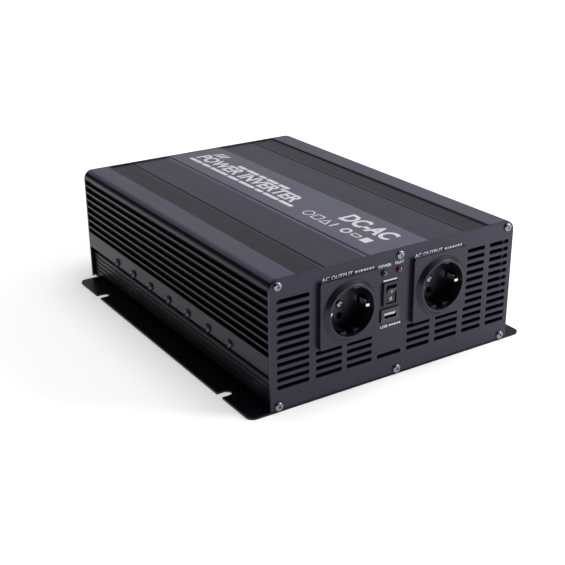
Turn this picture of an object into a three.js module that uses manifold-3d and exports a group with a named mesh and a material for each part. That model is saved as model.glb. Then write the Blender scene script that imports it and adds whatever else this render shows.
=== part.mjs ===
// A 2 kW class power inverter: an extruded, finned aluminium case on a flanged chassis. The front panel carries
// two earthed mains sockets, a rocker switch, two lamps and a USB port, and the rear panel two fans and two
// screw-down battery terminals. The converter's boards and wound parts are inside.
// Millimetres. +X runs right along the front panel, +Y to the rear and +Z up. The origin is on the floor, below
// the middle of the whole object's box.
import * as THREE from "three";
import { mergeVertices } from "three/addons/utils/BufferGeometryUtils.js";
import Module from "manifold-3d";

const wasm = await Module();
wasm.setup();

// ---- Driving dimensions ----

const GAP = 0.3; // left between pieces that touch
const CASE = { width: 236, height: 107, length: 331 };
const PANEL = { thick: 2, corner: 8.5, clearOfFloor: 0.3 };
const FLANGE = {
  reach: 18, thick: 2, corner: 6.5, short: 11,
  slotWide: 8.5, slotDeep: 10.4, slotsAt: [45.3, 274],
};
const COVER = {
  shoulder: 7.5, step: 1, labelHalf: 28, recessTo: 91.5,
  grooveAt: 68, roof: 103.5, base: 31, rail: 98,
};
const FIN = { count: 7, top: 93.2, pitch: 6.94, thick: 2.2, depth: 3.2 };
const WALL = { band: 4.2, fins: 6.3, bandTop: 46.5 };
const CHASSIS = { outer: 115.5, wallTop: 26.2, lipTop: 38, lipOuter: 113.2, lipInner: 110.8, ledge: 10 };
const RIB = { count: 5, first: 7, pitch: 4.5, high: 1.8, proud: 0.8 };
const PANEL_SCREW = {
  xs: [-111, 0, 111], low: 5.3, high: 102,
  headR: 3.5, headTall: 2, shaftR: 1.3, length: 10,
};
const CLAMP_SCREW = { count: 7, first: 59, pitch: 34.33, z: 35, headR: 3.7, headTall: 2.3, shaftR: 1.6 };
const SOCKET = {
  xs: [-49, 39], z: 69.3, plate: 54, plateProud: 3.5,
  collarProud: 7, recessR: 19.7, deep: 17.5,
};
const CLIP = { halfWide: 2.5, thick: 1.2, inset: 1.9, bend: 3, proud: 4.5 }; // earth clips in a socket
const SOCKET_BACK = { halfWide: 12, halfTall: 17, deep: 18, chamberR: 4.4 };
const CONTACT = { outerR: 4, innerR: 2.5 };
const CENTRE_SCREW = { holeR: 1.9, shaftR: 1.5, headR: 3.3, length: 16 };
const CUP = { collarR: 24.5, outerR: 22, holeR: 22.6, floor: 3, pinApart: 19, pinR: 2.8 };
const VENT = { high: 3.3, first: 20.4, pitch: 6.3, rows: 12 };
const CONTROL_X = -8.9; // middle of the column that holds the switch and the USB port
const SWITCH = { z: 72.3, wide: 15, tall: 19.6, proud: 2, bodyWide: 12.8, bodyTall: 17.6, deep: 15 };
const ROCKER = { wide: 8.8, half: 6.4, tilt: 10, pivotDeep: 3, faceProud: 2.6, dish: 1.5, round: 5.6 };
const LAMP = { xs: [-15.3, -0.8], z: 90.4, r: 2.5, proud: 3, flangeR: 3.1 };
const USB = {
  z: 54.6, wide: 13.1, tall: 5.7, deep: 14, wall: 0.4,
  bezelWide: 17.8, bezelTall: 11.4, proud: 1.6, tongueHalf: 5.4,
};
const FAN = {
  xs: [-38, 38], z: 54, size: 70, deep: 25, boreR: 33,
  bladeR: 31.5, hubR: 15, blades: 7, holes: 61, holeR: 2.1, pitch: 38,
};
const GUARD = { thick: 1.8, wire: 1.8, rings: [31.5, 24.3, 17.1, 9.9], screwR: 3.2 };
const TERMINAL = {
  xs: [-96, 96], z: 62, studR: 4, boreR: 4.4,
  base: 29, baseTall: 6, washerR: 9, washerTall: 1.6,
};
const BUSBAR = { half: 8, thick: 2, foot: 22 };
const OPEN = 2.5; // how far each battery terminal's washer and knob stand open at rest, half of their travel
const KNOB = { r: 12, ribs: 12, ribDeep: 1.2, long: 15, bore: 13 };
const EARTH = { z: 16, shaftR: 2.5, washerR: 6, headR: 4.6 };
const TRANSFORMER = { halfWide: 27, halfDeep: 10, tall: 52, windingR: 19, legs: 7 };
const CHOKE = { outerR: 22, innerR: 9, tall: 20 };
const CAPACITOR = { r: 15, tall: 45 };
const BOARD = { thick: 1.6, halfWide: 108.5, z: 10.3, fromFront: 36, fromRear: 6 };

const HALF = CASE.width / 2;
const KNOB_REACH = 3 * GAP + TERMINAL.baseTall + OPEN + TERMINAL.washerTall + KNOB.long;
const FRONT = SOCKET.collarProud - (SOCKET.collarProud + CASE.length + KNOB_REACH) / 2; // front panel's face
const REAR = FRONT + CASE.length; // rear panel's face
const INNER_FRONT = FRONT + PANEL.thick + GAP; // where the cover and the chassis start
const INNER_REAR = REAR - PANEL.thick - GAP; // and where they end
const FIN_ROOT = HALF - FIN.depth;
const INNER_WALL = FIN_ROOT - WALL.fins;

// ---- Materials ----

const FINISHES = {
  blackAnodised: { color: 0x2b2a31, roughness: 0.5, metalness: 0.7 },
  blackPaint: { color: 0x35343b, roughness: 0.55, metalness: 0.1 },
  blackPlastic: { color: 0x232227, roughness: 0.45, metalness: 0 },
  greyPlastic: { color: 0x6b6762, roughness: 0.5, metalness: 0 },
  redPlastic: { color: 0xa8201c, roughness: 0.45, metalness: 0 },
  greenLens: { color: 0x2f8f5b, roughness: 0.2, metalness: 0 },
  redLens: { color: 0xb01f2a, roughness: 0.2, metalness: 0 },
  zincSteel: { color: 0xc4c6c9, roughness: 0.3, metalness: 1 },
  nickelBrass: { color: 0xcfc8b4, roughness: 0.3, metalness: 1 },
  brass: { color: 0xc9a24a, roughness: 0.3, metalness: 1 },
  copper: { color: 0xb9704a, roughness: 0.35, metalness: 1 },
  circuitBoard: { color: 0x1f5a3a, roughness: 0.5, metalness: 0 },
  ferrite: { color: 0x3a3936, roughness: 0.7, metalness: 0.1 },
  capSleeve: { color: 0x1d2530, roughness: 0.4, metalness: 0 },
};

const inverter = new THREE.Group();

// ---- Turning geometry into solids and named pieces ----

// A closed geometry as a solid that can be joined and cut.
function solidOf(geometry) {
  const bare = geometry.clone();
  bare.deleteAttribute("normal");
  bare.deleteAttribute("uv");
  const merged = mergeVertices(bare, 1e-4);
  const vertProperties = merged.attributes.position.array;
  const triVerts = new Uint32Array(merged.index.array);
  return new wasm.Manifold(new wasm.Mesh({ numProp: 3, vertProperties, triVerts }));
}

// Adds a solid to the inverter as one named mesh with its own material.
function addPiece(name, solid, finish) {
  const mesh = solid.getMesh();
  const geometry = new THREE.BufferGeometry();
  geometry.setAttribute("position", new THREE.BufferAttribute(new Float32Array(mesh.vertProperties), 3));
  geometry.setIndex(new THREE.BufferAttribute(new Uint32Array(mesh.triVerts), 1));
  geometry.computeVertexNormals();
  const piece = new THREE.Mesh(geometry, new THREE.MeshStandardMaterial(FINISHES[finish]));
  piece.name = name;
  inverter.add(piece);
}

const joined = (solids) => solids.reduce((whole, next) => whole.add(next));
const cut = (solid, tools) => tools.reduce((left, tool) => left.subtract(tool), solid);

function box(x0, x1, y0, y1, z0, z1) {
  const geometry = new THREE.BoxGeometry(x1 - x0, y1 - y0, z1 - z0);
  return solidOf(geometry.translate((x0 + x1) / 2, (y0 + y1) / 2, (z0 + z1) / 2));
}

// ---- Flat outlines, as lists of points ----

// Points on an arc, from one angle to another in degrees.
function arc(a, b, r, from, to, steps) {
  return Array.from({ length: steps + 1 }, (_, i) => {
    const t = THREE.MathUtils.degToRad(from + ((to - from) * i) / steps);
    return [a + r * Math.cos(t), b + r * Math.sin(t)];
  });
}

const circle = (a, b, r, sides) => arc(a, b, r, 0, 360 - 360 / sides, sides - 1);

// A rectangle about a middle point, with its corners cut off at 45 degrees.
function chamfered(a, b, wide, high, c) {
  const [w, h] = [wide / 2, high / 2];
  const corners = [
    [w, c - h], [w, h - c], [w - c, h], [c - w, h],
    [-w, h - c], [-w, c - h], [c - w, -h], [w - c, -h],
  ];
  return corners.map(([da, db]) => [a + da, b + db]);
}

// Points on the right of the middle line, and then their mirror image back along the left.
const mirrored = (right) => [...right, ...right.map(([x, z]) => [-x, z]).reverse()];

// ---- Outlines made thick, and turned pieces ----

function extrude(points, depth) {
  const shape = new THREE.Shape(points.map(([a, b]) => new THREE.Vector2(a, b)));
  return new THREE.ExtrudeGeometry(shape, { depth, bevelEnabled: false });
}

// Drawn in X and Z, thick along Y.
const thickY = (points, y0, y1) => solidOf(extrude(points, y1 - y0).rotateX(Math.PI / 2).translate(0, y1, 0));

// Drawn in X and Y, thick along Z.
const thickZ = (points, z0, z1) => solidOf(extrude(points, z1 - z0).translate(0, 0, z0));

// A solid with each outline in the list cut right through it along Y.
const pierced = (solid, outlines, y0, y1) =>
  cut(solid, outlines.map((points) => thickY(points, y0 - 1, y1 + 1)));

// A profile of [radius, distance along the axis], turned about an axis through a point.
function turned(profile, axis, at, sides) {
  const geometry = new THREE.LatheGeometry(profile.map(([r, d]) => new THREE.Vector2(r, d)), sides);
  if (axis === "x") geometry.rotateZ(-Math.PI / 2);
  if (axis === "z") geometry.rotateX(Math.PI / 2);
  return solidOf(geometry.translate(...at));
}

const rod = (r, d0, d1, axis, at, sides) => turned([[0, d0], [r, d0], [r, d1], [0, d1]], axis, at, sides);

const tube = (outer, inner, d0, d1, axis, at, sides) =>
  turned([[inner, d0], [outer, d0], [outer, d1], [inner, d1], [inner, d0]], axis, at, sides);

// ---- Case: finned cover and flanged chassis ----

const clampScrewYs = Array.from(
  { length: CLAMP_SCREW.count },
  (_, i) => FRONT + CLAMP_SCREW.first + i * CLAMP_SCREW.pitch,
);

// Both sides of the case are mirror images: makes the piece for +X, and its copy for -X.
const bothSides = (make) => [make(1), make(-1)];

// A box that spans two distances from the middle line on one side.
function sideBox(side, near, far, z0, z1, y0 = INNER_FRONT, y1 = INNER_REAR) {
  const [x0, x1] = [side * near, side * far].sort((a, b) => a - b);
  return box(x0, x1, y0, y1, z0, z1);
}

// Holes for one side's clamp screws, right through the wall.
function clampHoles(side) {
  const [near, far] = [side * (HALF - 15), side * (HALF + 5)].sort((a, b) => a - b);
  return clampScrewYs.map((y) => rod(CLAMP_SCREW.shaftR + GAP, near, far, "x", [0, y, CLAMP_SCREW.z], 8));
}

const panelScrewPort = (x, z) => circle(x, z, PANEL_SCREW.shaftR + 0.4, 8);

// The grooves between one side's fins, as boxes to cut away.
function finGrooves(side) {
  const finEdges = Array.from({ length: FIN.count }, (_, i) => FIN.top - i * FIN.pitch);
  const tops = [CASE.height - COVER.shoulder - 0.6, ...finEdges.map((z) => z - FIN.thick / 2)];
  const floors = [...finEdges.map((z) => z + FIN.thick / 2), WALL.bandTop];
  return tops.map((z, i) => sideBox(side, FIN_ROOT, HALF + 5, floors[i], z, INNER_FRONT - 1, INNER_REAR + 1));
}

// The sunk strip on one side of the roof's label strip, and the fine groove along it.
function roofCuts(side) {
  const { height: top } = CASE;
  const low = top - COVER.step;
  const recess = [[COVER.labelHalf - 0.8, top + 1], [COVER.labelHalf + 0.8, low], [COVER.recessTo - 0.8, low],
    [COVER.recessTo + 0.8, top + 1]];
  const at = COVER.grooveAt;
  const groove = [[at - 1, low + 0.2], [at, low - 0.8], [at + 1, low + 0.2]];
  return [recess, groove].map((points) => points.map(([x, z]) => [side * x, z]));
}

function makeTopCover() {
  const { height: top } = CASE;
  const { shoulder, base, roof, rail } = COVER;
  const outside = [[HALF, base], ...arc(HALF - shoulder, top - shoulder, shoulder, 0, 90, 5)];
  const inside = [
    [HALF - WALL.band, base - 1], [HALF - WALL.band, WALL.bandTop - 6], [INNER_WALL, WALL.bandTop - 1],
    [INNER_WALL, rail - 1.5], [INNER_WALL - 3, rail + 1], [INNER_WALL - 3, roof],
  ];
  const centreBoss = thickY(mirrored([[4, rail], [5, roof + 0.5]]), INNER_FRONT, INNER_REAR);
  const block = thickY(mirrored(outside), INNER_FRONT, INNER_REAR);
  const shell = pierced(block, [mirrored(inside)], INNER_FRONT, INNER_REAR);
  const ports = PANEL_SCREW.xs.map((x) => panelScrewPort(x, PANEL_SCREW.high));
  const lengthwise = [...ports, ...bothSides(roofCuts).flat()];
  const cuts = [...bothSides(finGrooves), ...bothSides(clampHoles)].flat();
  const drilled = cut(joined([shell, centreBoss]), cuts);
  addPiece("top_cover", pierced(drilled, lengthwise, INNER_FRONT, INNER_REAR), "blackAnodised");
}

// A slot open at the flange's outer edge, with a round inner end.
function flangeSlot(side, distance) {
  const [y, r] = [FRONT + distance, FLANGE.slotWide / 2];
  const edge = HALF + FLANGE.reach;
  const points = [[edge + 5, y - r], ...arc(edge - FLANGE.slotDeep + r, y, r, 270, 90, 6), [edge + 5, y + r]];
  return thickZ(points.map(([x, py]) => [side * x, py]), -5, FLANGE.thick + 1);
}

// What is cut away to round one outer corner of a flange: inward is 1 at the front end and -1 at the rear.
function flangeCorner(side, y, inward) {
  const edge = HALF + FLANGE.reach;
  const r = FLANGE.corner;
  const points = [[edge + 1, -1], ...arc(edge - r, r, r, 0, -90, 4), [edge - r, -1]];
  return thickZ(points.map(([x, d]) => [side * x, y + inward * d]), -5, FLANGE.thick + 1);
}

// The base sheet: it carries the front panel's foot, and its flanges stop short of the rear panel.
function chassisFloor() {
  const edge = HALF + FLANGE.reach;
  const flangeEnd = REAR - FLANGE.short;
  const sheet = joined([box(-edge, edge, FRONT, flangeEnd, 0, FLANGE.thick),
    sideBox(1, -CHASSIS.outer, CHASSIS.outer, 0, FLANGE.thick)]);
  const cuts = bothSides((side) => [
    ...FLANGE.slotsAt.map((distance) => flangeSlot(side, distance)),
    flangeCorner(side, FRONT, 1),
    flangeCorner(side, flangeEnd, -1),
  ]);
  return cut(sheet, cuts.flat());
}

function makeBottomChassis() {
  const { outer, wallTop, lipTop, lipOuter, lipInner, ledge } = CHASSIS;
  const face = outer - RIB.proud;
  const rib = (side, i) => {
    const z = RIB.first + i * RIB.pitch;
    return sideBox(side, face - 1, outer, z - RIB.high / 2, z + RIB.high / 2);
  };
  const wall = (side) => [
    sideBox(side, lipInner, face, FLANGE.thick - 1, wallTop),
    sideBox(side, lipInner, lipOuter, wallTop - 1, lipTop),
    sideBox(side, lipInner - 5.5, lipInner + 1, FLANGE.thick - 1, ledge),
    ...Array.from({ length: RIB.count }, (_, i) => rib(side, i)),
  ];
  const centreBoss = thickY(mirrored([[5, FLANGE.thick - 0.5], [4, 9.5]]), INNER_FRONT, INNER_REAR);
  const ports = PANEL_SCREW.xs.map((x) => panelScrewPort(x, PANEL_SCREW.low));
  const walls = pierced(joined([centreBoss, ...bothSides(wall).flat()]), ports, INNER_FRONT, INNER_REAR);
  const drilled = cut(joined([chassisFloor(), walls]), bothSides(clampHoles).flat());
  addPiece("bottom_chassis", drilled, "blackAnodised");
}

// The steel bar that clamps one side's power transistors to the case wall, with its screws run in from outside.
function makeClampBar(name, side) {
  const inner = HALF - 14.5;
  const outer = CHASSIS.lipInner - GAP;
  const [x0, x1] = [side * inner, side * outer].sort((a, b) => a - b);
  const ends = [clampScrewYs[0] - 12, clampScrewYs.at(-1) + 12];
  const bar = box(x0, x1, ends[0], ends[1], CLAMP_SCREW.z - 5, CLAMP_SCREW.z + 5);
  const { headR: r, headTall: tall, shaftR } = CLAMP_SCREW;
  const seat = HALF + GAP;
  const profile = [
    [0, inner + 1], [shaftR, inner + 1], [shaftR, seat], [r, seat],
    [r, seat + 0.8], [r * 0.62, seat + tall], [0, seat + tall],
  ];
  const screws = clampScrewYs.map((y) => {
    const points = side > 0 ? profile : profile.map(([radius, d]) => [radius, -d]).reverse();
    return turned(points, "x", [0, y, CLAMP_SCREW.z], 10);
  });
  addPiece(name, joined([bar, ...screws]), "zincSteel");
}

// ---- End panels and their screws ----

// A flat end panel, square at the bottom and rounded at the top, with its screw holes and any others.
function makePanel(name, y0, foot, holes) {
  const { corner: r, thick } = PANEL;
  const right = [[HALF, foot], ...arc(HALF - r, CASE.height - r, r, 0, 90, 5)];
  const { xs, low, high } = PANEL_SCREW;
  const screwHoles = xs.flatMap((x) => [panelScrewPort(x, low), panelScrewPort(x, high)]);
  const sheet = thickY(mirrored(right), y0, y0 + thick);
  addPiece(name, pierced(sheet, [...screwHoles, ...holes], y0, y0 + thick), "blackPaint");
}

// Rows of ventilation slots between two distances from the middle line, counted up from the lowest.
function ventColumn(x0, x1, rows) {
  return Array.from({ length: rows }, (_, i) => {
    const middle = VENT.first + i * VENT.pitch;
    const [low, high] = [middle - VENT.high / 2, middle + VENT.high / 2];
    return [[x0, low], [x1, low], [x1, high], [x0, high]];
  });
}

function makeFrontPanel() {
  const vents = [
    ventColumn(-112, -83.5, VENT.rows),
    ventColumn(-77.4, -53.6, 4),
    ventColumn(-48.8, -25.1, 4),
    ventColumn(-19.8, 3.6, 1),
    ventColumn(9.3, 32.6, 4),
    ventColumn(38.3, 61.7, 4),
    ventColumn(67.3, 87.5, VENT.rows),
    ventColumn(93.1, 113.3, VENT.rows),
  ].flat();
  const cutouts = [
    ...SOCKET.xs.map((x) => circle(x, SOCKET.z, CUP.holeR, 24)),
    ...LAMP.xs.map((x) => circle(x, LAMP.z, LAMP.r + 0.2, 12)),
    chamfered(CONTROL_X, SWITCH.z, SWITCH.bodyWide + 2 * GAP, SWITCH.bodyTall + 2 * GAP, 0.5),
    chamfered(CONTROL_X, USB.z, USB.bezelWide - 2, USB.bezelTall - 2, 0.5),
  ];
  makePanel("front_panel", FRONT, FLANGE.thick + GAP, [...vents, ...cutouts]);
}

const terminalHoleR = TERMINAL.studR + 3;

const fanCorners = (x) =>
  [-1, 1].flatMap((i) => [-1, 1].map((k) => [x + (i * FAN.holes) / 2, FAN.z + (k * FAN.holes) / 2]));
const fanScrewHoles = (x) => fanCorners(x).map(([a, b]) => circle(a, b, FAN.holeR, 8));

function makeRearPanel() {
  const cutouts = [
    ...FAN.xs.map((x) => circle(x, FAN.z, FAN.boreR, 32)),
    ...FAN.xs.flatMap(fanScrewHoles),
    ...TERMINAL.xs.map((x) => circle(x, TERMINAL.z, terminalHoleR + GAP, 12)),
    circle(0, EARTH.z, EARTH.shaftR + GAP, 10),
  ];
  makePanel("rear_panel", REAR - PANEL.thick, PANEL.clearOfFloor, cutouts);
}

// A pan-head screw along Y. Facing is -1 for a head that looks to the front and 1 for the rear.
function panHeadScrew(name, x, z, face, facing) {
  const { headR: r, headTall: tall, shaftR, length } = PANEL_SCREW;
  const seat = face + facing * GAP;
  const tip = seat - facing * length;
  const profile = [[0, tip], [shaftR, tip], [shaftR, seat], [r, seat], [r, seat + facing * 0.8],
    [r * 0.6, seat + facing * tall], [0, seat + facing * tall]];
  addPiece(name, turned(facing > 0 ? profile : profile.reverse(), "y", [x, 0, z], 10), "zincSteel");
}

function makePanelScrews() {
  const places = [PANEL_SCREW.low, PANEL_SCREW.high].flatMap((z) => PANEL_SCREW.xs.map((x) => [x, z]));
  places.forEach(([x, z], i) => panHeadScrew(`front_panel_screw_${i + 1}`, x, z, FRONT, -1));
  places.forEach(([x, z], i) => panHeadScrew(`rear_panel_screw_${i + 1}`, x, z, REAR, 1));
}

// ---- Mains sockets ----

const cupMouth = FRONT - SOCKET.collarProud;
const cupFloor = cupMouth + SOCKET.deep;
const cupBack = cupFloor + CUP.floor;
const strapBack = cupBack + GAP + CLIP.thick;
const clipR = SOCKET.recessR - CLIP.inset; // inner face of an earth clip, from the socket's middle

// The moulded insert: square plate, raised collar and the round recess that takes a plug.
function makeSocketBody(name, x) {
  const at = [x, 0, SOCKET.z];
  const platePlane = FRONT - SOCKET.plateProud;
  const plate = thickY(chamfered(x, SOCKET.z, SOCKET.plate, SOCKET.plate, 1.2), platePlane, FRONT - GAP);
  const cupProfile = [
    [0, cupMouth], [SOCKET.recessR + 1.7, cupMouth], [CUP.collarR, platePlane + 0.1],
    [CUP.collarR, FRONT - 0.6], [CUP.outerR, FRONT - 0.6], [CUP.outerR, cupBack], [0, cupBack],
  ];
  const cup = turned(cupProfile, "y", at, 24);
  const recess = rod(SOCKET.recessR, cupMouth - 1, cupFloor, "y", at, 24);
  const pins = [-1, 1].map((k) =>
    rod(CUP.pinR, cupFloor - 1, cupBack + 1, "y", [x, 0, SOCKET.z + (k * CUP.pinApart) / 2], 10));
  const screwHole = rod(CENTRE_SCREW.holeR, cupFloor - 1, cupBack + 1, "y", at, 8);
  const clipWays = [-1, 1].map((k) => {
    const [x0, x1] = [x + k * (clipR - GAP), x + k * (clipR + CLIP.thick + GAP)].sort((a, b) => a - b);
    const reach = CLIP.halfWide + GAP;
    return box(x0, x1, cupFloor - 1, cupBack + 1, SOCKET.z - reach, SOCKET.z + reach);
  });
  const ribs = [-1, 1].flatMap((k) => [-1, 1].map((side) => {
    const [z0, z1] = [SOCKET.z + k * 16.2, SOCKET.z + k * 19.5].sort((a, b) => a - b);
    return box(x + side * 6 - 3, x + side * 6 + 3, cupMouth + 3.5, cupFloor + 1, z0, z1);
  }));
  const shell = cut(joined([plate, cup]), [recess]);
  addPiece(name, cut(joined([shell, ...ribs]), [...pins, screwHole, ...clipWays]), "blackPlastic");
}

// The earth strap: a sprung metal band behind the cup, with a clip that stands up at each side of the recess.
function makeEarthStrap(name, x) {
  const [z0, z1] = [SOCKET.z - CLIP.halfWide, SOCKET.z + CLIP.halfWide];
  const outer = clipR + CLIP.thick;
  const tip = cupMouth + CLIP.proud;
  const bend = tip + CLIP.bend;
  const clip = (side) => {
    const points = [
      [clipR, strapBack], [outer, strapBack], [outer, bend],
      [outer - 1, tip], [clipR - 1, tip], [clipR, bend],
    ];
    return thickZ(points.map(([d, y]) => [x + side * d, y]), z0, z1);
  };
  const strap = box(x - outer, x + outer, strapBack - CLIP.thick, strapBack, z0, z1);
  const band = joined([strap, ...bothSides(clip)]);
  const screwHole = rod(CENTRE_SCREW.holeR, cupBack - 1, strapBack + 1, "y", [x, 0, SOCKET.z], 8);
  addPiece(name, cut(band, [screwHole]), "nickelBrass");
}

const socketBackStart = strapBack + GAP;
const socketBackEnd = socketBackStart + SOCKET_BACK.deep;

// The insulated rear block: a chamber for each contact and a thread for the centre screw.
function makeSocketBack(name, x) {
  const { halfWide, halfTall, chamberR } = SOCKET_BACK;
  const [low, high] = [SOCKET.z - halfTall, SOCKET.z + halfTall];
  const block = box(x - halfWide, x + halfWide, socketBackStart, socketBackEnd, low, high);
  const chambers = [-1, 1].map((k) => {
    const at = [x, 0, SOCKET.z + (k * CUP.pinApart) / 2];
    return rod(chamberR, socketBackStart - 1, socketBackEnd - 2.5, "y", at, 12);
  });
  const thread = rod(CENTRE_SCREW.holeR, socketBackStart - 1, socketBackStart + 12, "y", [x, 0, SOCKET.z], 8);
  addPiece(name, cut(block, [...chambers, thread]), "blackPlastic");
}

// A sprung sleeve that grips one pin of the plug.
function makeContact(name, x, side) {
  const at = [x, 0, SOCKET.z + (side * CUP.pinApart) / 2];
  const [front, back] = [socketBackStart + 0.5, socketBackEnd - 3];
  const { outerR, innerR } = CONTACT;
  const profile = [
    [0, back - 2], [innerR, back - 2], [innerR, front],
    [outerR, front], [outerR, back], [0, back],
  ];
  addPiece(name, turned(profile, "y", at, 12), "brass");
}

function makeSocketScrew(name, x) {
  const seat = cupFloor - GAP;
  const { headR, shaftR, length } = CENTRE_SCREW;
  const profile = [
    [0, seat - 1.8], [headR - 0.7, seat - 1.8], [headR, seat - 0.8], [headR, seat],
    [shaftR, seat], [shaftR, seat + length], [0, seat + length],
  ];
  addPiece(name, turned(profile, "y", [x, 0, SOCKET.z], 10), "zincSteel");
}

function makeSockets() {
  ["left", "right"].forEach((hand, i) => {
    const x = SOCKET.xs[i];
    makeSocketBody(`${hand}_socket_body`, x);
    makeEarthStrap(`${hand}_socket_earth_strap`, x);
    makeSocketBack(`${hand}_socket_back`, x);
    makeContact(`${hand}_socket_lower_contact`, x, -1);
    makeContact(`${hand}_socket_upper_contact`, x, 1);
    makeSocketScrew(`${hand}_socket_screw`, x);
  });
}

// ---- Controls ----

function makeSwitchHousing() {
  const { z, wide, tall, proud, bodyWide, bodyTall, deep } = SWITCH;
  const bezel = thickY(chamfered(CONTROL_X, z, wide, tall, 0.8), FRONT - proud, FRONT - GAP);
  const [bodyHalf, bodyRise] = [bodyWide / 2, bodyTall / 2];
  const body = box(
    CONTROL_X - bodyHalf, CONTROL_X + bodyHalf,
    FRONT - 1, FRONT + deep,
    z - bodyRise, z + bodyRise,
  );
  const [mouthHalf, mouthTall] = [ROCKER.wide / 2 + 0.4, ROCKER.half + 1.3];
  const mouth = box(
    CONTROL_X - mouthHalf, CONTROL_X + mouthHalf,
    FRONT - proud - 1, FRONT + deep - 2,
    z - mouthTall, z + mouthTall,
  );
  addPiece("switch_housing", cut(joined([bezel, body]), [mouth]), "blackPlastic");
}

// The rocker's side view about its pivot: a shallow V of two faces, over a round belly.
function makeSwitchRocker() {
  const { half, faceProud, dish, pivotDeep, round, wide, tilt } = ROCKER;
  const face = -(pivotDeep + faceProud);
  const points = [
    [face + dish, 0], [face, half], [-1, half + 0.4],
    ...arc(0, 0, round, 60, -60, 6), [-1, -half - 0.4], [face, -half],
  ];
  const side = extrude(points, wide);
  const turn = new THREE.Matrix4().makeBasis(
    new THREE.Vector3(0, 1, 0),
    new THREE.Vector3(0, 0, 1),
    new THREE.Vector3(1, 0, 0),
  );
  side.applyMatrix4(turn).translate(-wide / 2, 0, 0).rotateX(THREE.MathUtils.degToRad(tilt));
  addPiece("switch_rocker", solidOf(side.translate(CONTROL_X, FRONT + pivotDeep, SWITCH.z)), "blackPlastic");
}

// A domed lamp that stands through the panel on a rim behind it.
function makeLamp(name, x, finish) {
  const { r, proud, flangeR } = LAMP;
  const at = [x, 0, LAMP.z];
  const flange = FRONT + PANEL.thick + GAP;
  const profile = [
    [0, FRONT - proud], [r * 0.6, FRONT - proud + 0.5], [r, FRONT - proud + 2], [r, flange],
    [flangeR, flange], [flangeR, flange + 1.2], [0, flange + 1.2],
  ];
  addPiece(name, turned(profile, "y", at, 12), finish);
}

function makeUsbPort() {
  const { z, wide, tall, deep, wall, bezelWide, bezelTall, proud, tongueHalf } = USB;
  const rim = thickY(chamfered(CONTROL_X, z, bezelWide, bezelTall, 0.8), FRONT - proud, FRONT - GAP);
  const neck = box(
    CONTROL_X - bezelWide / 2 + 1.5, CONTROL_X + bezelWide / 2 - 1.5,
    FRONT - GAP - 0.1, FRONT + deep + 2,
    z - bezelTall / 2 + 1.5, z + bezelTall / 2 - 1.5,
  );
  const [halfWide, halfTall] = [wide / 2 + GAP, tall / 2 + GAP];
  const [left, right] = [CONTROL_X - halfWide, CONTROL_X + halfWide];
  const way = box(left, right, FRONT - 5, FRONT + deep, z - halfTall, z + halfTall);
  const tongue = box(
    CONTROL_X - tongueHalf, CONTROL_X + tongueHalf,
    FRONT + 1, FRONT + deep + 1,
    z + 0.1, z + 1.9,
  );
  addPiece("usb_insert", joined([cut(joined([rim, neck]), [way]), tongue]), "greyPlastic");
  const [front, back] = [FRONT - proud, FRONT + deep - GAP];
  const bar = thickY(chamfered(CONTROL_X, z, wide, tall, 0.3), front, back);
  const inside = chamfered(CONTROL_X, z, wide - 2 * wall, tall - 2 * wall, 0.3);
  addPiece("usb_shell", pierced(bar, [inside], front, back), "zincSteel");
}

// ---- Rear: fans, battery terminals and earth screw ----

const fanBack = REAR - PANEL.thick - GAP;
const fanFront = fanBack - FAN.deep;
const seatThick = 3;
const strutHalf = 1.5;

// A square frame with a round duct, and the motor seat held by four struts at its inner end.
function makeFanFrame(name, x) {
  const { z, size, boreR, hubR } = FAN;
  const square = thickY(chamfered(x, z, size, size, 3), fanFront, fanBack);
  const frame = pierced(square, [circle(x, z, boreR, 24), ...fanScrewHoles(x)], fanFront, fanBack);
  const seat = rod(hubR, fanFront, fanFront + seatThick, "y", [x, 0, z], 16);
  const reach = boreR + 0.5;
  const struts = [
    box(x - reach, x + reach, fanFront, fanFront + seatThick, z - strutHalf, z + strutHalf),
    box(x - strutHalf, x + strutHalf, fanFront, fanFront + seatThick, z - reach, z + reach),
  ];
  addPiece(name, joined([frame, seat, ...struts]), "blackPlastic");
}

// The rotor: a hub with slanting blades.
function makeFanImpeller(name, x) {
  const { z, hubR, bladeR, blades, pitch } = FAN;
  const [near, far] = [fanFront + seatThick + 1, fanBack - 2];
  const middle = (near + far) / 2;
  const hub = rod(hubR, near, far, "y", [0, 0, 0], 16);
  const bladeSolids = Array.from({ length: blades }, (_, i) => {
    const blade = new THREE.BoxGeometry(1.6, far - near - 2, bladeR - hubR + 2);
    blade.rotateZ(THREE.MathUtils.degToRad(pitch)).translate(0, middle, (bladeR + hubR) / 2 - 2.4);
    return solidOf(blade.rotateY((2 * Math.PI * i) / blades));
  });
  addPiece(name, joined([hub, ...bladeSolids]).translate([x, 0, z]), "blackPlastic");
}

// The finger guard: rings on four spokes, with an eye and a screw at each corner.
function makeFanGuard(name, x) {
  const { thick, wire, rings, screwR } = GUARD;
  const { z, holes } = FAN;
  const [near, far] = [REAR + GAP, REAR + GAP + thick];
  const hoops = rings.map((r) => tube(r + wire / 2, r - wire / 2, near, far, "y", [x, 0, z], 16));
  const spoke = (turn) => {
    const bar = new THREE.BoxGeometry(holes * Math.SQRT2, thick, wire);
    return solidOf(bar.rotateY(THREE.MathUtils.degToRad(turn)).translate(x, (near + far) / 2, z));
  };
  const profile = [
    [0, far - 12], [1.6, far - 12], [1.6, near],
    [screwR, near], [screwR, far + 0.6], [0, far + 1.4],
  ];
  const screws = fanCorners(x).map(([a, b]) => turned(profile, "y", [a, 0, b], 8));
  addPiece(name, joined([...hoops, spoke(45), spoke(-45), ...screws]), "zincSteel");
}

const baseFace = REAR + GAP + TERMINAL.baseTall;
const washerStart = baseFace + GAP + OPEN;
const knobStart = washerStart + TERMINAL.washerTall + GAP;

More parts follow.
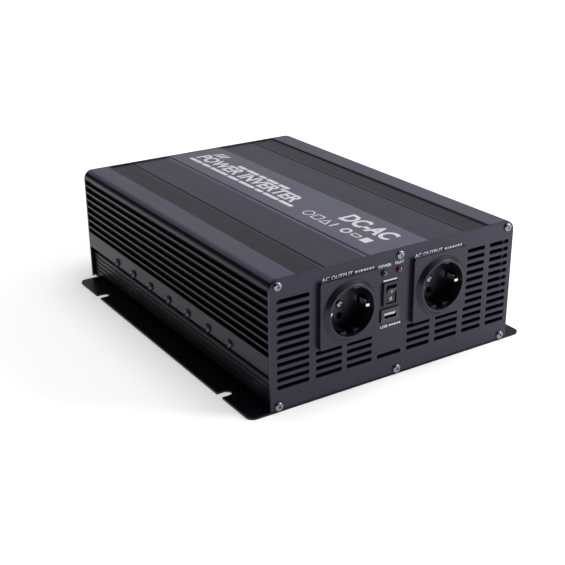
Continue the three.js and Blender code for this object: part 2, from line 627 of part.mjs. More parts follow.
// One battery terminal: insulating base, threaded stud, clamp washer, ribbed knob and the bar to the board.
function makeTerminal(sign, x, finish) {
  const at = [x, 0, TERMINAL.z];
  const { studR, boreR, base, washerR, washerTall } = TERMINAL;
  const block = thickY(chamfered(x, TERMINAL.z, base, base, 3), REAR + GAP, baseFace);
  const neck = rod(terminalHoleR, REAR - PANEL.thick - 1, REAR + 1, "y", at, 12);
  const bore = rod(boreR, REAR - 10, REAR + 20, "y", at, 12);
  addPiece(`${sign}_terminal_base`, cut(joined([block, neck]), [bore]), finish);

  const barFace = REAR - PANEL.thick - 1 - GAP;
  const barBack = barFace - BUSBAR.thick;
  const studTip = knobStart - OPEN + KNOB.bore - 1;
  const stud = [
    [0, barBack - 5], [6.5, barBack - 5], [6.5, barBack - GAP],
    [studR, barBack - GAP], [studR, studTip], [0, studTip],
  ];
  addPiece(`${sign}_terminal_stud`, turned(stud, "y", at, 12), "brass");

  const washer = tube(washerR, boreR, washerStart, washerStart + washerTall, "y", at, 16);
  addPiece(`${sign}_clamp_washer`, washer, "zincSteel");

  const grips = Array.from({ length: KNOB.ribs * 4 }, (_, i) => {
    const r = i % 4 < 2 ? KNOB.r : KNOB.r - KNOB.ribDeep;
    const t = (2 * Math.PI * (i + 0.5)) / (KNOB.ribs * 4);
    return [x + r * Math.cos(t), TERMINAL.z + r * Math.sin(t)];
  });
  const grip = thickY(grips, knobStart, knobStart + KNOB.long);
  const thread = rod(boreR, knobStart - 1, knobStart + KNOB.bore, "y", at, 12);
  addPiece(`${sign}_terminal_knob`, cut(grip, [thread]), finish);

  const { half, thick, foot: footLong } = BUSBAR;
  const seat = BOARD.z + BOARD.thick + GAP;
  const plate = thickY(chamfered(x, TERMINAL.z, 2 * half, 2 * half, 2), barBack, barFace);
  const lug = pierced(plate, [circle(x, TERMINAL.z, boreR, 12)], barBack, barFace);
  const riser = box(x - half, x + half, barBack, barFace, seat, TERMINAL.z - half + 1);
  const foot = box(x - half, x + half, barBack - footLong, barFace, seat, seat + thick);
  addPiece(`${sign}_busbar`, joined([lug, riser, foot]), "copper");
}

function makeEarthScrew() {
  const { z, shaftR, washerR, headR } = EARTH;
  const seat = REAR + GAP;
  const profile = [
    [0, seat - 9], [shaftR, seat - 9], [shaftR, seat], [washerR, seat],
    [washerR, seat + 1], [headR, seat + 1], [headR, seat + 4.5], [0, seat + 4.5],
  ];
  addPiece("earth_screw", turned(profile, "y", [0, 0, z], 12), "brass");
}

function makeRear() {
  ["left", "right"].forEach((hand, i) => {
    makeFanFrame(`${hand}_fan_frame`, FAN.xs[i]);
    makeFanImpeller(`${hand}_fan_impeller`, FAN.xs[i]);
    makeFanGuard(`${hand}_fan_guard`, FAN.xs[i]);
  });
  makeTerminal("positive", TERMINAL.xs[0], "redPlastic");
  makeTerminal("negative", TERMINAL.xs[1], "blackPlastic");
  makeEarthScrew();
}

// ---- Converter electronics ----

const boardTop = BOARD.z + BOARD.thick + GAP;

function makeMainBoard() {
  const [y0, y1] = [FRONT + BOARD.fromFront, REAR - BOARD.fromRear];
  const board = box(-BOARD.halfWide, BOARD.halfWide, y0, y1, BOARD.z, BOARD.z + BOARD.thick);
  addPiece("main_board", board, "circuitBoard");
}

// A ferrite core whose outer legs stand around the copper winding.
function makeTransformer(name, x, y) {
  const { halfWide, halfDeep, tall, windingR, legs } = TRANSFORMER;
  const core = box(x - halfWide, x + halfWide, y - halfDeep, y + halfDeep, boardTop, boardTop + tall);
  const winding = rod(windingR, boardTop + legs, boardTop + tall - legs, "z", [x, y, 0], 16);
  addPiece(name, joined([core, winding]), "ferrite");
}

function makeChoke(x, y) {
  const { outerR, innerR, tall } = CHOKE;
  addPiece("output_choke", tube(outerR, innerR, boardTop, boardTop + tall, "z", [x, y, 0], 20), "copper");
}

function makeCapacitor(name, x, y) {
  addPiece(name, rod(CAPACITOR.r, boardTop, boardTop + CAPACITOR.tall, "z", [x, y, 0], 16), "capSleeve");
}

// The upright board behind the lamps, the switch and the USB port.
function makeIndicatorBoard() {
  const y = FRONT + USB.deep + 4;
  const board = box(CONTROL_X - 15, CONTROL_X + 15, y, y + BOARD.thick, 44, 96);
  addPiece("indicator_board", board, "circuitBoard");
}

function makeElectronics() {
  makeMainBoard();
  makeTransformer("front_transformer", 48, -45);
  makeTransformer("rear_transformer", 48, 40);
  makeChoke(-62, -60);
  makeCapacitor("front_capacitor", -55, 5);
  makeCapacitor("rear_capacitor", -55, 45);
  makeIndicatorBoard();
}

makeTopCover();
makeBottomChassis();
makeClampBar("left_clamp_bar", -1);
makeClampBar("right_clamp_bar", 1);
makeFrontPanel();
makeRearPanel();
makePanelScrews();
makeSockets();
makeSwitchHousing();
makeSwitchRocker();
makeLamp("power_lamp", LAMP.xs[0], "greenLens");
makeLamp("fault_lamp", LAMP.xs[1], "redLens");
makeUsbPort();
makeRear();
makeElectronics();

export default inverter;
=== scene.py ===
"""A 2 kW class power inverter: a finned black aluminium case with two earthed mains sockets, a rocker switch,
two lamps and a USB port in front, and two fans and two battery terminals at the back."""

import math

import bmesh
import bpy
from mathutils import Matrix, Vector


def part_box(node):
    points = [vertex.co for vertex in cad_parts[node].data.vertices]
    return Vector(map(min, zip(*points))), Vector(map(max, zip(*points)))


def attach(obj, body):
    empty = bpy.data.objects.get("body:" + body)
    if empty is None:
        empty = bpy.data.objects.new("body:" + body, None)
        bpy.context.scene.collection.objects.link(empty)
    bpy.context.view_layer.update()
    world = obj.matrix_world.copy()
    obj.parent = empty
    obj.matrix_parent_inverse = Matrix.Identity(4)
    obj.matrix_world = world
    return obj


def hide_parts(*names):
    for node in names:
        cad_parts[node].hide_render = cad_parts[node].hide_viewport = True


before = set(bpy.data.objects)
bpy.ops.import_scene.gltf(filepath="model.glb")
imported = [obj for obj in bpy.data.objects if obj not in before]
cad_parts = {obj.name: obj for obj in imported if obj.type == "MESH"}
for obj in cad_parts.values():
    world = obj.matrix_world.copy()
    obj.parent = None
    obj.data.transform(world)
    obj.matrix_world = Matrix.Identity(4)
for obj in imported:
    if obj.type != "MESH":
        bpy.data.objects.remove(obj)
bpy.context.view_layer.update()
scene = bpy.context.scene

# ---- Case cover ----
# One aluminium extrusion that forms the roof and both finned sides. It is sawn to length, tumbled and anodised
# black, then slid down over the chassis walls. Its ends are closed by the front and rear panels.

MM = 0.001  # the script draws in millimetres and scales each finished piece to metres
gap = 0.3
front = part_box("front_panel")[0].y / MM
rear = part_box("rear_panel")[1].y / MM
panel_thick = 2
cover_ends = (front + panel_thick + gap, rear - panel_thick - gap)


def linear(hex_colour):
    """The linear colour of an sRGB hex value."""
    channels = [int(hex_colour[i : i + 2], 16) / 255 for i in (0, 2, 4)]
    return [c / 12.92 if c <= 0.04045 else ((c + 0.055) / 1.055) ** 2.4 for c in channels] + [1.0]


def add(tree, kind, values, links=None):
    """Adds a node, sets its properties and input values, and links its inputs to (node, output) pairs."""
    made = tree.nodes.new(kind)
    for key, value in values.items():
        if isinstance(key, int) or key in made.inputs:
            made.inputs[key].default_value = value
        else:
            setattr(made, key, value)
    for key, (source, output) in (links or {}).items():
        tree.links.new(source.outputs[output], made.inputs[key])
    return made


def start_material(name, slot, **values):
    """A material with its shader's constant values set, and a node that gives places on the object."""
    material = bpy.data.materials.new(name)
    material["slot"] = slot
    material.use_nodes = True
    tree = material.node_tree
    shader = tree.nodes["Principled BSDF"]
    for key, value in values.items():
        shader.inputs[key.replace("_", " ")].default_value = value
    return material, tree, shader, add(tree, "ShaderNodeTexCoord", {})


def place_piece(name, shape, material, body="case", stands_for=(), sharp_over=32, even=False):
    """Makes a shape drawn in millimetres into a piece that rides on a body and stands for CAD nodes."""
    bmesh.ops.remove_doubles(shape, verts=shape.verts, dist=1e-4)
    bmesh.ops.recalc_face_normals(shape, faces=shape.faces)
    bmesh.ops.scale(shape, vec=(MM, MM, MM), verts=shape.verts)
    for face in shape.faces:
        face.smooth = True
    for edge in shape.edges:
        edge.smooth = edge.is_manifold and edge.calc_face_angle() < math.radians(sharp_over)
    mesh = bpy.data.meshes.new(name)
    shape.to_mesh(mesh)
    shape.free()
    mesh.materials.append(material)
    piece = bpy.data.objects.new(name, mesh)
    scene.collection.objects.link(piece)
    if even:
        piece.modifiers.new("even_shading", "WEIGHTED_NORMAL").keep_sharp = True
    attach(piece, body)
    if stands_for:
        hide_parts(*stands_for)
    return piece


def soften(shape, edges, width, segments):
    """Rounds edges over, as tumbling, paint or a mould leaves them."""
    bmesh.ops.bevel(shape, geom=edges, offset=width, offset_type="OFFSET", segments=segments, profile=0.5,
                    affect="EDGES", material=-1, clamp_overlap=True)


def outline(shape, points):
    """A closed loop of edges through points."""
    corners = [shape.verts.new(point) for point in points]
    return [shape.edges.new(pair) for pair in zip(corners, corners[1:] + corners[:1])]


def sheet(outlines, depth):
    """A solid from flat outlines, the first one outside and the others holes, made thick along a vector."""
    shape = bmesh.new()
    edges = [edge for points in outlines for edge in outline(shape, points)]
    if len(outlines) == 1:
        bmesh.ops.contextual_create(shape, geom=edges)
    else:
        bmesh.ops.triangle_fill(shape, use_beauty=True, use_dissolve=False, edges=edges)
    grown = bmesh.ops.extrude_face_region(shape, geom=shape.faces[:])["geom"]
    bmesh.ops.translate(shape, vec=depth, verts=[part for part in grown if isinstance(part, bmesh.types.BMVert)])
    bmesh.ops.recalc_face_normals(shape, faces=shape.faces)
    return shape


def arc(a, b, r, start, end, steps):
    """Points on an arc between two angles in degrees."""
    turns = [math.radians(start + (end - start) * i / steps) for i in range(steps + 1)]
    return [(a + r * math.cos(t), b + r * math.sin(t)) for t in turns]


def mirrored(right):
    """An outline's right half, from bottom to top, followed by its mirror image back down."""
    return right + [(-x, z) for x, z in reversed(right)]


def upright(outlines, y, depth):
    """A sheet that stands across Y, from outlines of (x, z) points."""
    return sheet([[(x, y, z) for x, z in points] for points in outlines], (0, depth, 0))


def sharp_edges(shape, least_angle, test=lambda a, b: True):
    """The edges whose faces meet at more than an angle in degrees and whose two ends pass a test."""
    return [edge for edge in shape.edges if edge.is_manifold
            and edge.calc_face_angle() > math.radians(least_angle) and test(*(v.co for v in edge.verts))]


def along_y(shape, test):
    """The sharp lengthwise edges whose first end passes a test."""
    return sharp_edges(shape, 12, lambda a, b: abs(b.y - a.y) > 0.9 * (b - a).length and test(a))


case_half, case_top = 118, 107
shoulder = 7.5
fin_root = case_half - 3.2
fin_count, top_fin, fin_pitch, fin_thick = 7, 93.2, 6.94, 2.2
cover_foot, band_top = 31, 46.5
roof_inside, label_half, recess_to, groove_at = 103.5, 28, 91.5, 68
recess = case_top - 1
label_top = case_top - 0.05  # a hair low, so the printing on it stays within the case's height

fins = []
for i in reversed(range(fin_count)):
    middle = top_fin - i * fin_pitch
    low, high = middle - fin_thick / 2, middle + fin_thick / 2
    fins += [(fin_root, low), (case_half, low), (case_half, high), (fin_root, high)]
lip_low = case_top - shoulder - 0.6
outer_side = (
    [(case_half, cover_foot), (case_half, band_top), (fin_root, band_top)]
    + fins
    + [(fin_root, lip_low), (case_half, lip_low)]
    + arc(case_half - shoulder, case_top - shoulder, shoulder, 0, 90, 10)
    + [(recess_to + 0.5, case_top), (recess_to - 0.5, recess), (groove_at + 0.7, recess), (groove_at, recess - 0.9)]
    + [(groove_at - 0.7, recess), (label_half + 0.5, recess), (label_half - 0.5, label_top)]
)
inner_side = [(case_half - 4.2, cover_foot), (case_half - 4.2, 40.5), (108.5, 45.5), (108.5, 96.5), (105.5, 99)]
inner_side += [(105.5, roof_inside), (5, roof_inside), (4, 98)]
cover_profile = outer_side + [(-x, z) for x, z in reversed(outer_side)]
cover_profile += [(-x, z) for x, z in inner_side] + list(reversed(inner_side))
cover_long = cover_ends[1] - cover_ends[0]
cover = upright([cover_profile], cover_ends[0], cover_long)
soften(cover, along_y(cover, lambda p: abs(p.x) > case_half - 0.1 and p.z < lip_low + 0.1), 0.75, 3)
soften(cover, along_y(cover, lambda p: p.z > recess - 2 and abs(p.x) < recess_to + 2), 0.3, 2)

# Black anodised aluminium, extruded: the dyed oxide film is nearly black and hides the metal, so its sheen is what
# shows, with faint lines along its length from the die. The roof is painted paler than the sides and the chassis, as
# painted light from above. Across the roof the label strip and the outer raised strips are given paler tones than the
# recess, which is darkest towards its outer edge. The lines are drawn 1 to 3 mm apart, coarser than real ones, so they
# show.
anodised, tree, shader, places = start_material("black_anodised_extruded_aluminium", "black_anodised_aluminium",
                                                IOR=1.5, Roughness=0.34, Specular_IOR_Level=0.27,
                                                Specular_Tint=linear("E4E0FF"))
lengthwise = add(tree, "ShaderNodeMapping", {"Scale": (1, 0.012, 1)}, {"Vector": (places, "Object")})
die_lines = add(tree, "ShaderNodeTexNoise", {"Scale": 1 / (1.4 * MM), "Detail": 3, "Roughness": 0.6},
                {"Vector": (lengthwise, "Vector")})
dye_clouds = add(tree, "ShaderNodeTexNoise", {"Scale": 1 / (60 * MM), "Detail": 4}, {"Vector": (places, "Object")})
bead_grain = add(tree, "ShaderNodeTexNoise", {"Scale": 1 / (0.7 * MM), "Detail": 2}, {"Vector": (places, "Object")})
across = add(tree, "ShaderNodeSeparateXYZ", {}, {0: (places, "Object")})
from_middle = add(tree, "ShaderNodeMath", {"operation": "ABSOLUTE"}, {0: (across, "X")})
on_roof = add(tree, "ShaderNodeMath", {"operation": "GREATER_THAN", 1: 104.9 * MM}, {0: (across, "Z")})
strips = add(tree, "ShaderNodeValToRGB", {}, {"Fac": (from_middle, 0)})
strips.color_ramp.interpolation = "CONSTANT"
strip_tones = ((0, "5A5868"), (label_half, "323140"), (groove_at, "191822"), (recess_to, "4B4957"))
for i, (starts, tone) in enumerate(strip_tones):
    stop = strips.color_ramp.elements[0] if i == 0 else strips.color_ramp.elements.new(starts * MM)
    stop.color = linear(tone)
strips.color_ramp.elements.remove(strips.color_ramp.elements[-1])
# Painted light: above 104.9 mm the roof takes the strip tones and the sides and chassis below take a near-black tone,
# so the roof reads lit and the sides shaded.
painted_roof_light = add(tree, "ShaderNodeMix", {"data_type": "RGBA", 6: linear("0D0D14")}, {0: (on_roof, 0), 7: (strips, "Color")})
drift = add(tree, "ShaderNodeMix", {"data_type": "RGBA", "blend_type": "OVERLAY", 0: 0.25},
            {6: (painted_roof_light, 2), 7: (dye_clouds, "Color")})
lined = add(tree, "ShaderNodeMix", {"data_type": "RGBA", "blend_type": "OVERLAY", 0: 0.3},
            {6: (drift, 2), 7: (die_lines, "Color")})
satin = add(tree, "ShaderNodeMapRange", {"From Min": 0.3, "From Max": 0.7, "To Min": 0.28, "To Max": 0.4},
            {"Value": (die_lines, "Fac")})
scored = add(tree, "ShaderNodeBump", {"Strength": 0.2, "Distance": 0.02 * MM}, {"Height": (die_lines, "Fac")})
beaded = add(tree, "ShaderNodeBump", {"Strength": 0.25, "Distance": 0.02 * MM},
             {"Height": (bead_grain, "Fac"), "Normal": (scored, "Normal")})
tree.links.new(lined.outputs[2], shader.inputs["Base Color"])
tree.links.new(satin.outputs["Result"], shader.inputs["Roughness"])
tree.links.new(beaded.outputs["Normal"], shader.inputs["Normal"])
place_piece("cover_extrusion", cover, anodised, stands_for=["top_cover"], even=True)

# ---- Chassis ----
# A flanged base sheet with a ribbed wall up each side, in the same black anodised aluminium. The flanges have open
# slots for the screws that hold the inverter down, and the walls end in a lip behind the cover's foot.

flange_reach, flange_thick, flange_corner, flange_short = 18, 2, 6.5, 11
slot_wide, slot_deep, slots_at = 8.5, 10.4, (45.3, 274)
wall_outer, wall_top, lip_top, lip_outer, lip_inner = 115.5, 26.2, 38, 113.2, 110.8
rib_count, first_rib, rib_pitch, rib_high, rib_proud = 5, 7, 4.5, 1.8, 0.8

edge_x = case_half + flange_reach
flange_end = rear - flange_short
flange_side = arc(edge_x - flange_corner, front + flange_corner, flange_corner, -90, 0, 8)
for distance in slots_at:
    y, r = front + distance, slot_wide / 2
    flange_side += [(edge_x, y - r)] + arc(edge_x - slot_deep + r, y, r, 270, 90, 12) + [(edge_x, y + r)]
flange_side += arc(edge_x - flange_corner, flange_end - flange_corner, flange_corner, 0, 90, 8)
flange_side += [(wall_outer, flange_end), (wall_outer, cover_ends[1])]
floor_outline = flange_side + [(-x, y) for x, y in reversed(flange_side)]
chassis = sheet([[(x, y, 0) for x, y in floor_outline]], (0, 0, flange_thick))
soften(chassis, sharp_edges(chassis, 80, lambda a, b: abs(a.z - b.z) < 0.01), 0.35, 2)

wall_side = [(wall_outer - rib_proud, flange_thick - 0.2)]
for i in range(rib_count):
    middle = first_rib + i * rib_pitch
    low, high = middle - rib_high / 2, middle + rib_high / 2
    wall_side += [(wall_outer - rib_proud, low), (wall_outer, low + 0.35), (wall_outer, high - 0.35)]
    wall_side += [(wall_outer - rib_proud, high)]
wall_side += [(wall_outer - rib_proud, wall_top), (lip_outer, wall_top), (lip_outer, lip_top)]
wall_side += [(lip_inner, lip_top), (lip_inner, flange_thick - 0.2)]
for side in (-1, 1):
    wall = upright([[(side * x, z) for x, z in wall_side]], cover_ends[0], cover_long)
    soften(wall, along_y(wall, lambda p: abs(p.x) > lip_inner + 0.1), 0.25, 2)
    joined = bpy.data.meshes.new("wall")
    wall.to_mesh(joined)
    wall.free()
    chassis.from_mesh(joined)
    bpy.data.meshes.remove(joined)
place_piece("flanged_chassis", chassis, anodised, stands_for=["bottom_chassis"], even=True)

# ---- Side screws and clamp bars ----
# Seven black button-head screws run through each side into a steel bar, which presses the power transistors to the
# wall. The heads are cold-formed with a cross recess and blackened.

clamp_first, clamp_pitch, clamp_count, clamp_z, clamp_head_r, clamp_head_tall = 59, 34.33, 7, 35, 3.7, 2.3


def turned(profile, at, axis, steps=48):
    """A shape turned from (radius, distance) points about an axis through a place."""
    shape = bmesh.new()
    points = [shape.verts.new((r, 0, d)) for r, d in profile]
    sides = [shape.edges.new(pair) for pair in zip(points, points[1:])]
    bmesh.ops.spin(shape, geom=points + sides, cent=(0, 0, 0), axis=(0, 0, 1), dvec=(0, 0, 0), angle=2 * math.pi,
                   steps=steps, use_merge=True, use_duplicate=False)
    bmesh.ops.remove_doubles(shape, verts=shape.verts, dist=1e-4)
    bmesh.ops.recalc_face_normals(shape, faces=shape.faces)
    turn = {"x": Matrix.Rotation(math.radians(90), 4, "Y"), "y": Matrix.Rotation(math.radians(-90), 4, "X"),
            "z": Matrix.Identity(4)}[axis]
    bmesh.ops.transform(shape, matrix=Matrix.Translation(at) @ turn, verts=shape.verts)
    return shape


def screw_head(r, tall, rim, recess_wide, recess_long, recess_deep, washer=0):
    """A domed screw head on the floor of its own frame, pointing up, with a cross recess cut into it."""
    steps = 6
    profile = [(0, 0), (r, 0), (r, rim)]
    profile += [(r * math.cos(t), rim + (tall - rim) * math.sin(t))
                for t in (math.pi / 2 * i / steps for i in range(1, steps))] + [(0, tall)]
    if washer:
        profile = [(0, 0), (washer, 0), (washer, 0.5), (r, 0.6)] + profile[2:]
    dome = turned(profile, (0, 0, 0), "z", 32)
    cross = bmesh.new()
    for turn in (0, 90):
        arm = bmesh.ops.create_cube(cross, size=1)["verts"]
        bmesh.ops.scale(cross, vec=(recess_long, recess_wide, 2 * recess_deep), verts=arm)
        bmesh.ops.scale(cross, vec=(0.45, 0.6, 1), verts=[v for v in arm if v.co.z < 0])
        bmesh.ops.rotate(cross, matrix=Matrix.Rotation(math.radians(turn), 3, "Z"), verts=arm)
    bmesh.ops.translate(cross, vec=(0, 0, tall), verts=cross.verts)
    things = []
    for label, part in (("head", dome), ("recess", cross)):
        mesh = bpy.data.meshes.new(label)
        part.to_mesh(mesh)
        part.free()
        things.append(bpy.data.objects.new(label, mesh))
        scene.collection.objects.link(things[-1])
    cutting = things[0].modifiers.new("recess", "BOOLEAN")
    cutting.object, cutting.operation, cutting.solver, cutting.use_self = things[1], "DIFFERENCE", "EXACT", True
    made = bpy.data.meshes.new_from_object(things[0].evaluated_get(bpy.context.evaluated_depsgraph_get()))
    for thing in things:
        bpy.data.objects.remove(thing)
    return made


def stamp(shape, mesh, turn, at):
    """Adds a copy of a mesh to a shape, turned and moved."""
    before = len(shape.verts)
    shape.from_mesh(mesh)
    shape.verts.ensure_lookup_table()
    bmesh.ops.transform(shape, matrix=Matrix.Translation(at) @ turn, verts=shape.verts[before:])


def merge(shapes):
    """Several shapes as one."""
    whole = bmesh.new()
    for shape in shapes:
        mesh = bpy.data.meshes.new("part")
        shape.to_mesh(mesh)
        shape.free()
        whole.from_mesh(mesh)
        bpy.data.meshes.remove(mesh)
    return whole


def box(low, high, rounding=0.0):
    """A block between two corners, with softened edges."""
    shape = bmesh.new()
    bmesh.ops.create_cube(shape, size=1)
    size = Vector(high) - Vector(low)
    bmesh.ops.scale(shape, vec=size, verts=shape.verts)
    bmesh.ops.translate(shape, vec=(Vector(low) + Vector(high)) / 2, verts=shape.verts)
    if rounding:
        soften(shape, shape.edges[:], rounding, 2)
    return shape


def mottled(name, slot, dark, light, patch_mm, detail, shine=None, **values):
    """A material that drifts between two tones, and between two roughnesses if given, over patches of a size."""
    material, tree, shader, places = start_material(name, slot, **values)
    patches = add(tree, "ShaderNodeTexNoise", {"Scale": 1 / (patch_mm * MM), "Detail": detail},
                  {"Vector": (places, "Object")})
    tone = add(tree, "ShaderNodeMix", {"data_type": "RGBA", 6: linear(dark), 7: linear(light)},
               {0: (patches, "Fac")})
    tree.links.new(tone.outputs[2], shader.inputs["Base Color"])
    if shine:
        satin = add(tree, "ShaderNodeMapRange", {"To Min": shine[0], "To Max": shine[1]}, {"Value": (patches, "Fac")})
        tree.links.new(satin.outputs["Result"], shader.inputs["Roughness"])
    return material


# Steel, blackened: a dark brown-black with a soft shine, slightly uneven where the oil dried.
blackened = mottled("blackened_steel", "zinc_plated_steel", "3A383F", "5C5A63", 2, 3, (0.24, 0.42),
                    Metallic=0.8, Roughness=0.3)

button_head = screw_head(clamp_head_r, clamp_head_tall, 0.5, 1.0, 4.2, 1.4)
for side, hand in ((-1, "left"), (1, "right")):
    heads = bmesh.new()
    facing = Matrix.Rotation(math.radians(90 * side), 4, "Y")
    for i in range(clamp_count):
        spin_by = Matrix.Rotation(math.radians(37 * i + 15), 4, "Z")
        at = (side * (case_half + 0.05), front + clamp_first + i * clamp_pitch, clamp_z)
        stamp(heads, button_head, facing @ spin_by, at)
    inner, outer = sorted((side * (case_half - 14.5), side * (lip_inner - gap)))
    ends = (front + clamp_first - 12, front + clamp_first + (clamp_count - 1) * clamp_pitch + 12)
    bar = box((inner, ends[0], clamp_z - 5), (outer, ends[1], clamp_z + 5), 0.5)
    heads = merge([heads, bar])
    place_piece(f"{hand}_side_screw_heads", heads, blackened, stands_for=[f"{hand}_clamp_bar"], sharp_over=40)

# ---- Front panel ----
# A 2 mm aluminium sheet, punched with rows of ventilation slots and with holes for the sockets and controls, and
# powder-painted satin black. It stands on the chassis sheet and closes the cover's front end.

panel_corner = 8.5
vent_first, vent_pitch, vent_high = 20.4, 6.3, 3.3
vent_columns = [(-112, -83.5, 12), (-77.4, -53.6, 4), (-48.8, -25.1, 4), (-19.8, 3.6, 1)]
vent_columns += [(9.3, 32.6, 4), (38.3, 61.7, 4), (67.3, 87.5, 12), (93.1, 113.3, 12)]
socket_xs, socket_z, cup_r = (-49, 39), 69.3, 22
control_x, switch_z, usb_z, lamp_z, lamp_xs, lamp_r = -8.9, 72.3, 54.6, 90.4, (-15.3, -0.8), 2.5
screw_xs, low_screw, high_screw = (-111, 0, 111), 5.3, 102


def rounded(a, b, wide, high, r, steps=4):
    """A rectangle about a middle point with rounded corners."""
    w, h = wide / 2 - r, high / 2 - r
    corners = ((w, -h, -90), (w, h, 0), (-w, h, 90), (-w, -h, 180))
    return [point for da, db, t in corners for point in arc(a + da, b + db, r, t, t + 90, steps)]


def circle(a, b, r, sides):
    """A circle about a middle point, as a polygon."""
    return arc(a, b, r, 0, 360 - 360 / sides, sides - 1)


def end_panel(y, foot, holes):
    """A flat panel with rounded top corners and its holes, from its front face to the rear."""
    right = [(case_half, foot)] + arc(case_half - panel_corner, case_top - panel_corner, panel_corner, 0, 90, 10)
    panel = upright([mirrored(right)] + holes, y, panel_thick)
    soften(panel, sharp_edges(panel, 80, lambda a, b: abs(a.y - b.y) < 0.01), 0.25, 2)
    return panel


holes = []
for x0, x1, rows in vent_columns:
    for i in range(rows):
        holes.append(rounded((x0 + x1) / 2, vent_first + i * vent_pitch, x1 - x0, vent_high, 0.8, 2))
holes += [circle(x, socket_z, cup_r + 0.4, 40) for x in socket_xs]
holes += [circle(x, lamp_z, lamp_r + 0.2, 20) for x in lamp_xs]
holes += [rounded(control_x, switch_z, 13, 17.8, 1), rounded(control_x, usb_z, 15.6, 9.2, 1)]
front_panel = end_panel(front, flange_thick + gap, holes)

# Satin black powder paint on aluminium: near-black with a soft sheen and a fine orange peel about 1 mm across.
painted, tree, shader, places = start_material("satin_black_powder_paint", "black_painted_panel", IOR=1.5,
                                               Roughness=0.42, Specular_IOR_Level=0.42,
                                               Specular_Tint=linear("E0DEFF"))
peel = add(tree, "ShaderNodeTexNoise", {"Scale": 1 / (0.9 * MM), "Detail": 2}, {"Vector": (places, "Object")})
coating = add(tree, "ShaderNodeTexNoise", {"Scale": 1 / (45 * MM), "Detail": 3}, {"Vector": (places, "Object")})
tone = add(tree, "ShaderNodeMix", {"data_type": "RGBA", 6: linear("15151F"), 7: linear("20202C")},
           {0: (coating, "Fac")})
sheen = add(tree, "ShaderNodeMapRange", {"To Min": 0.28, "To Max": 0.42}, {"Value": (peel, "Fac")})
skin = add(tree, "ShaderNodeBump", {"Strength": 0.3, "Distance": 0.04 * MM}, {"Height": (peel, "Fac")})
tree.links.new(tone.outputs[2], shader.inputs["Base Color"])
tree.links.new(sheen.outputs["Result"], shader.inputs["Roughness"])
tree.links.new(skin.outputs["Normal"], shader.inputs["Normal"])
place_piece("front_panel_sheet", front_panel, painted, stands_for=["front_panel"], even=True)

# ---- Panel screws ----
# Six pan-head machine screws hold each end panel to the cover and the chassis. They are cold-formed steel with a
# cross recess, bright zinc plated.

pan_r, pan_tall = 3.5, 2.0

# Zinc plate: a bright blue-white metal with faint clouds of passivation about 3 mm across.
zinc = mottled("bright_zinc_plated_steel", "zinc_plated_steel", "6C6E76", "98989C", 3, 4, (0.16, 0.34),
               Metallic=1.0, Roughness=0.24)

pan_head = screw_head(pan_r, pan_tall, 0.7, 0.9, 3.9, 1.5)
to_front = Matrix.Rotation(math.radians(90), 4, "X")
to_rear = Matrix.Rotation(math.radians(-90), 4, "X")
for end, facing, y in (("front", to_front, front - 0.05), ("rear", to_rear, rear + 0.05)):
    for i, (z, x) in enumerate((z, x) for z in (low_screw, high_screw) for x in screw_xs):
        head = bmesh.new()
        stamp(head, pan_head, facing @ Matrix.Rotation(math.radians(53 * i + 20), 4, "Z"), (x, y, z))
        place_piece(f"{end}_pan_head_{i + 1}", head, zinc, stands_for=[f"{end}_panel_screw_{i + 1}"], sharp_over=40)

# ---- Mains sockets ----
# Two earthed flush sockets, moulded in black plastic: a square plate, a raised collar and a round recess with guide
# ribs. Sprung nickel-plated clips at both sides earth the plug, and one screw holds the insert together.

plate_wide, plate_proud, collar_proud, recess_r, recess_deep = 54, 3.5, 7, 19.7, 17.5
pin_apart, pin_r = 19, 2.8
mouth = front - collar_proud
cup_floor = mouth + recess_deep
cup_back = cup_floor + 3
clip_r = recess_r - 1.9


def moulded(name, slot, dark, light, roughness, grain_mm, gloss, specular=0.5):
    """An injection-moulded plastic: spark-eroded grain, with a slow drift of tone from the mould's flow."""
    material, tree, shader, places = start_material(name, slot, Roughness=roughness, IOR=1.52, Coat_Weight=gloss,
                                                    Coat_Roughness=0.25, Specular_IOR_Level=specular,
                                                    Specular_Tint=linear("E4E2FF"))
    grain = add(tree, "ShaderNodeTexNoise", {"Scale": 1 / (grain_mm * MM), "Detail": 2},
                {"Vector": (places, "Object")})
    flow = add(tree, "ShaderNodeTexNoise", {"Scale": 1 / (18 * MM), "Detail": 3, "Distortion": 0.6},
               {"Vector": (places, "Object")})
    tone = add(tree, "ShaderNodeMix", {"data_type": "RGBA", 6: linear(dark), 7: linear(light)}, {0: (flow, "Fac")})
    sheen = add(tree, "ShaderNodeMapRange", {"To Min": roughness - 0.08, "To Max": roughness + 0.08},
                {"Value": (grain, "Fac")})
    bump = add(tree, "ShaderNodeBump", {"Strength": 0.25, "Distance": 0.03 * MM}, {"Height": (grain, "Fac")})
    tree.links.new(tone.outputs[2], shader.inputs["Base Color"])
    tree.links.new(sheen.outputs["Result"], shader.inputs["Roughness"])
    tree.links.new(bump.outputs["Normal"], shader.inputs["Normal"])
    return material


# Black polyamide, moulded: a satin blue-black that lightens where the light grazes it.
black_plastic = moulded("black_moulded_polyamide", "black_moulded_plastic", "0D0D13", "15151D", 0.34, 0.6, 0,
                        specular=0.42)
# Nickel plate on sprung brass: a warm, bright metal with a faint mottle under 1 mm across.
nickel = mottled("nickel_plated_spring_brass", "nickel_plated_brass", "C4BEB0", "EFEBE0", 0.8, 3, (0.12, 0.3),
                 Metallic=1.0, Roughness=0.2)


def face_rims(shape, y):
    """The sharp edges round a flat face that stands at a distance along Y."""
    return sharp_edges(shape, 80, lambda a, b: max(abs(a.y - y), abs(b.y - y)) < 0.01)


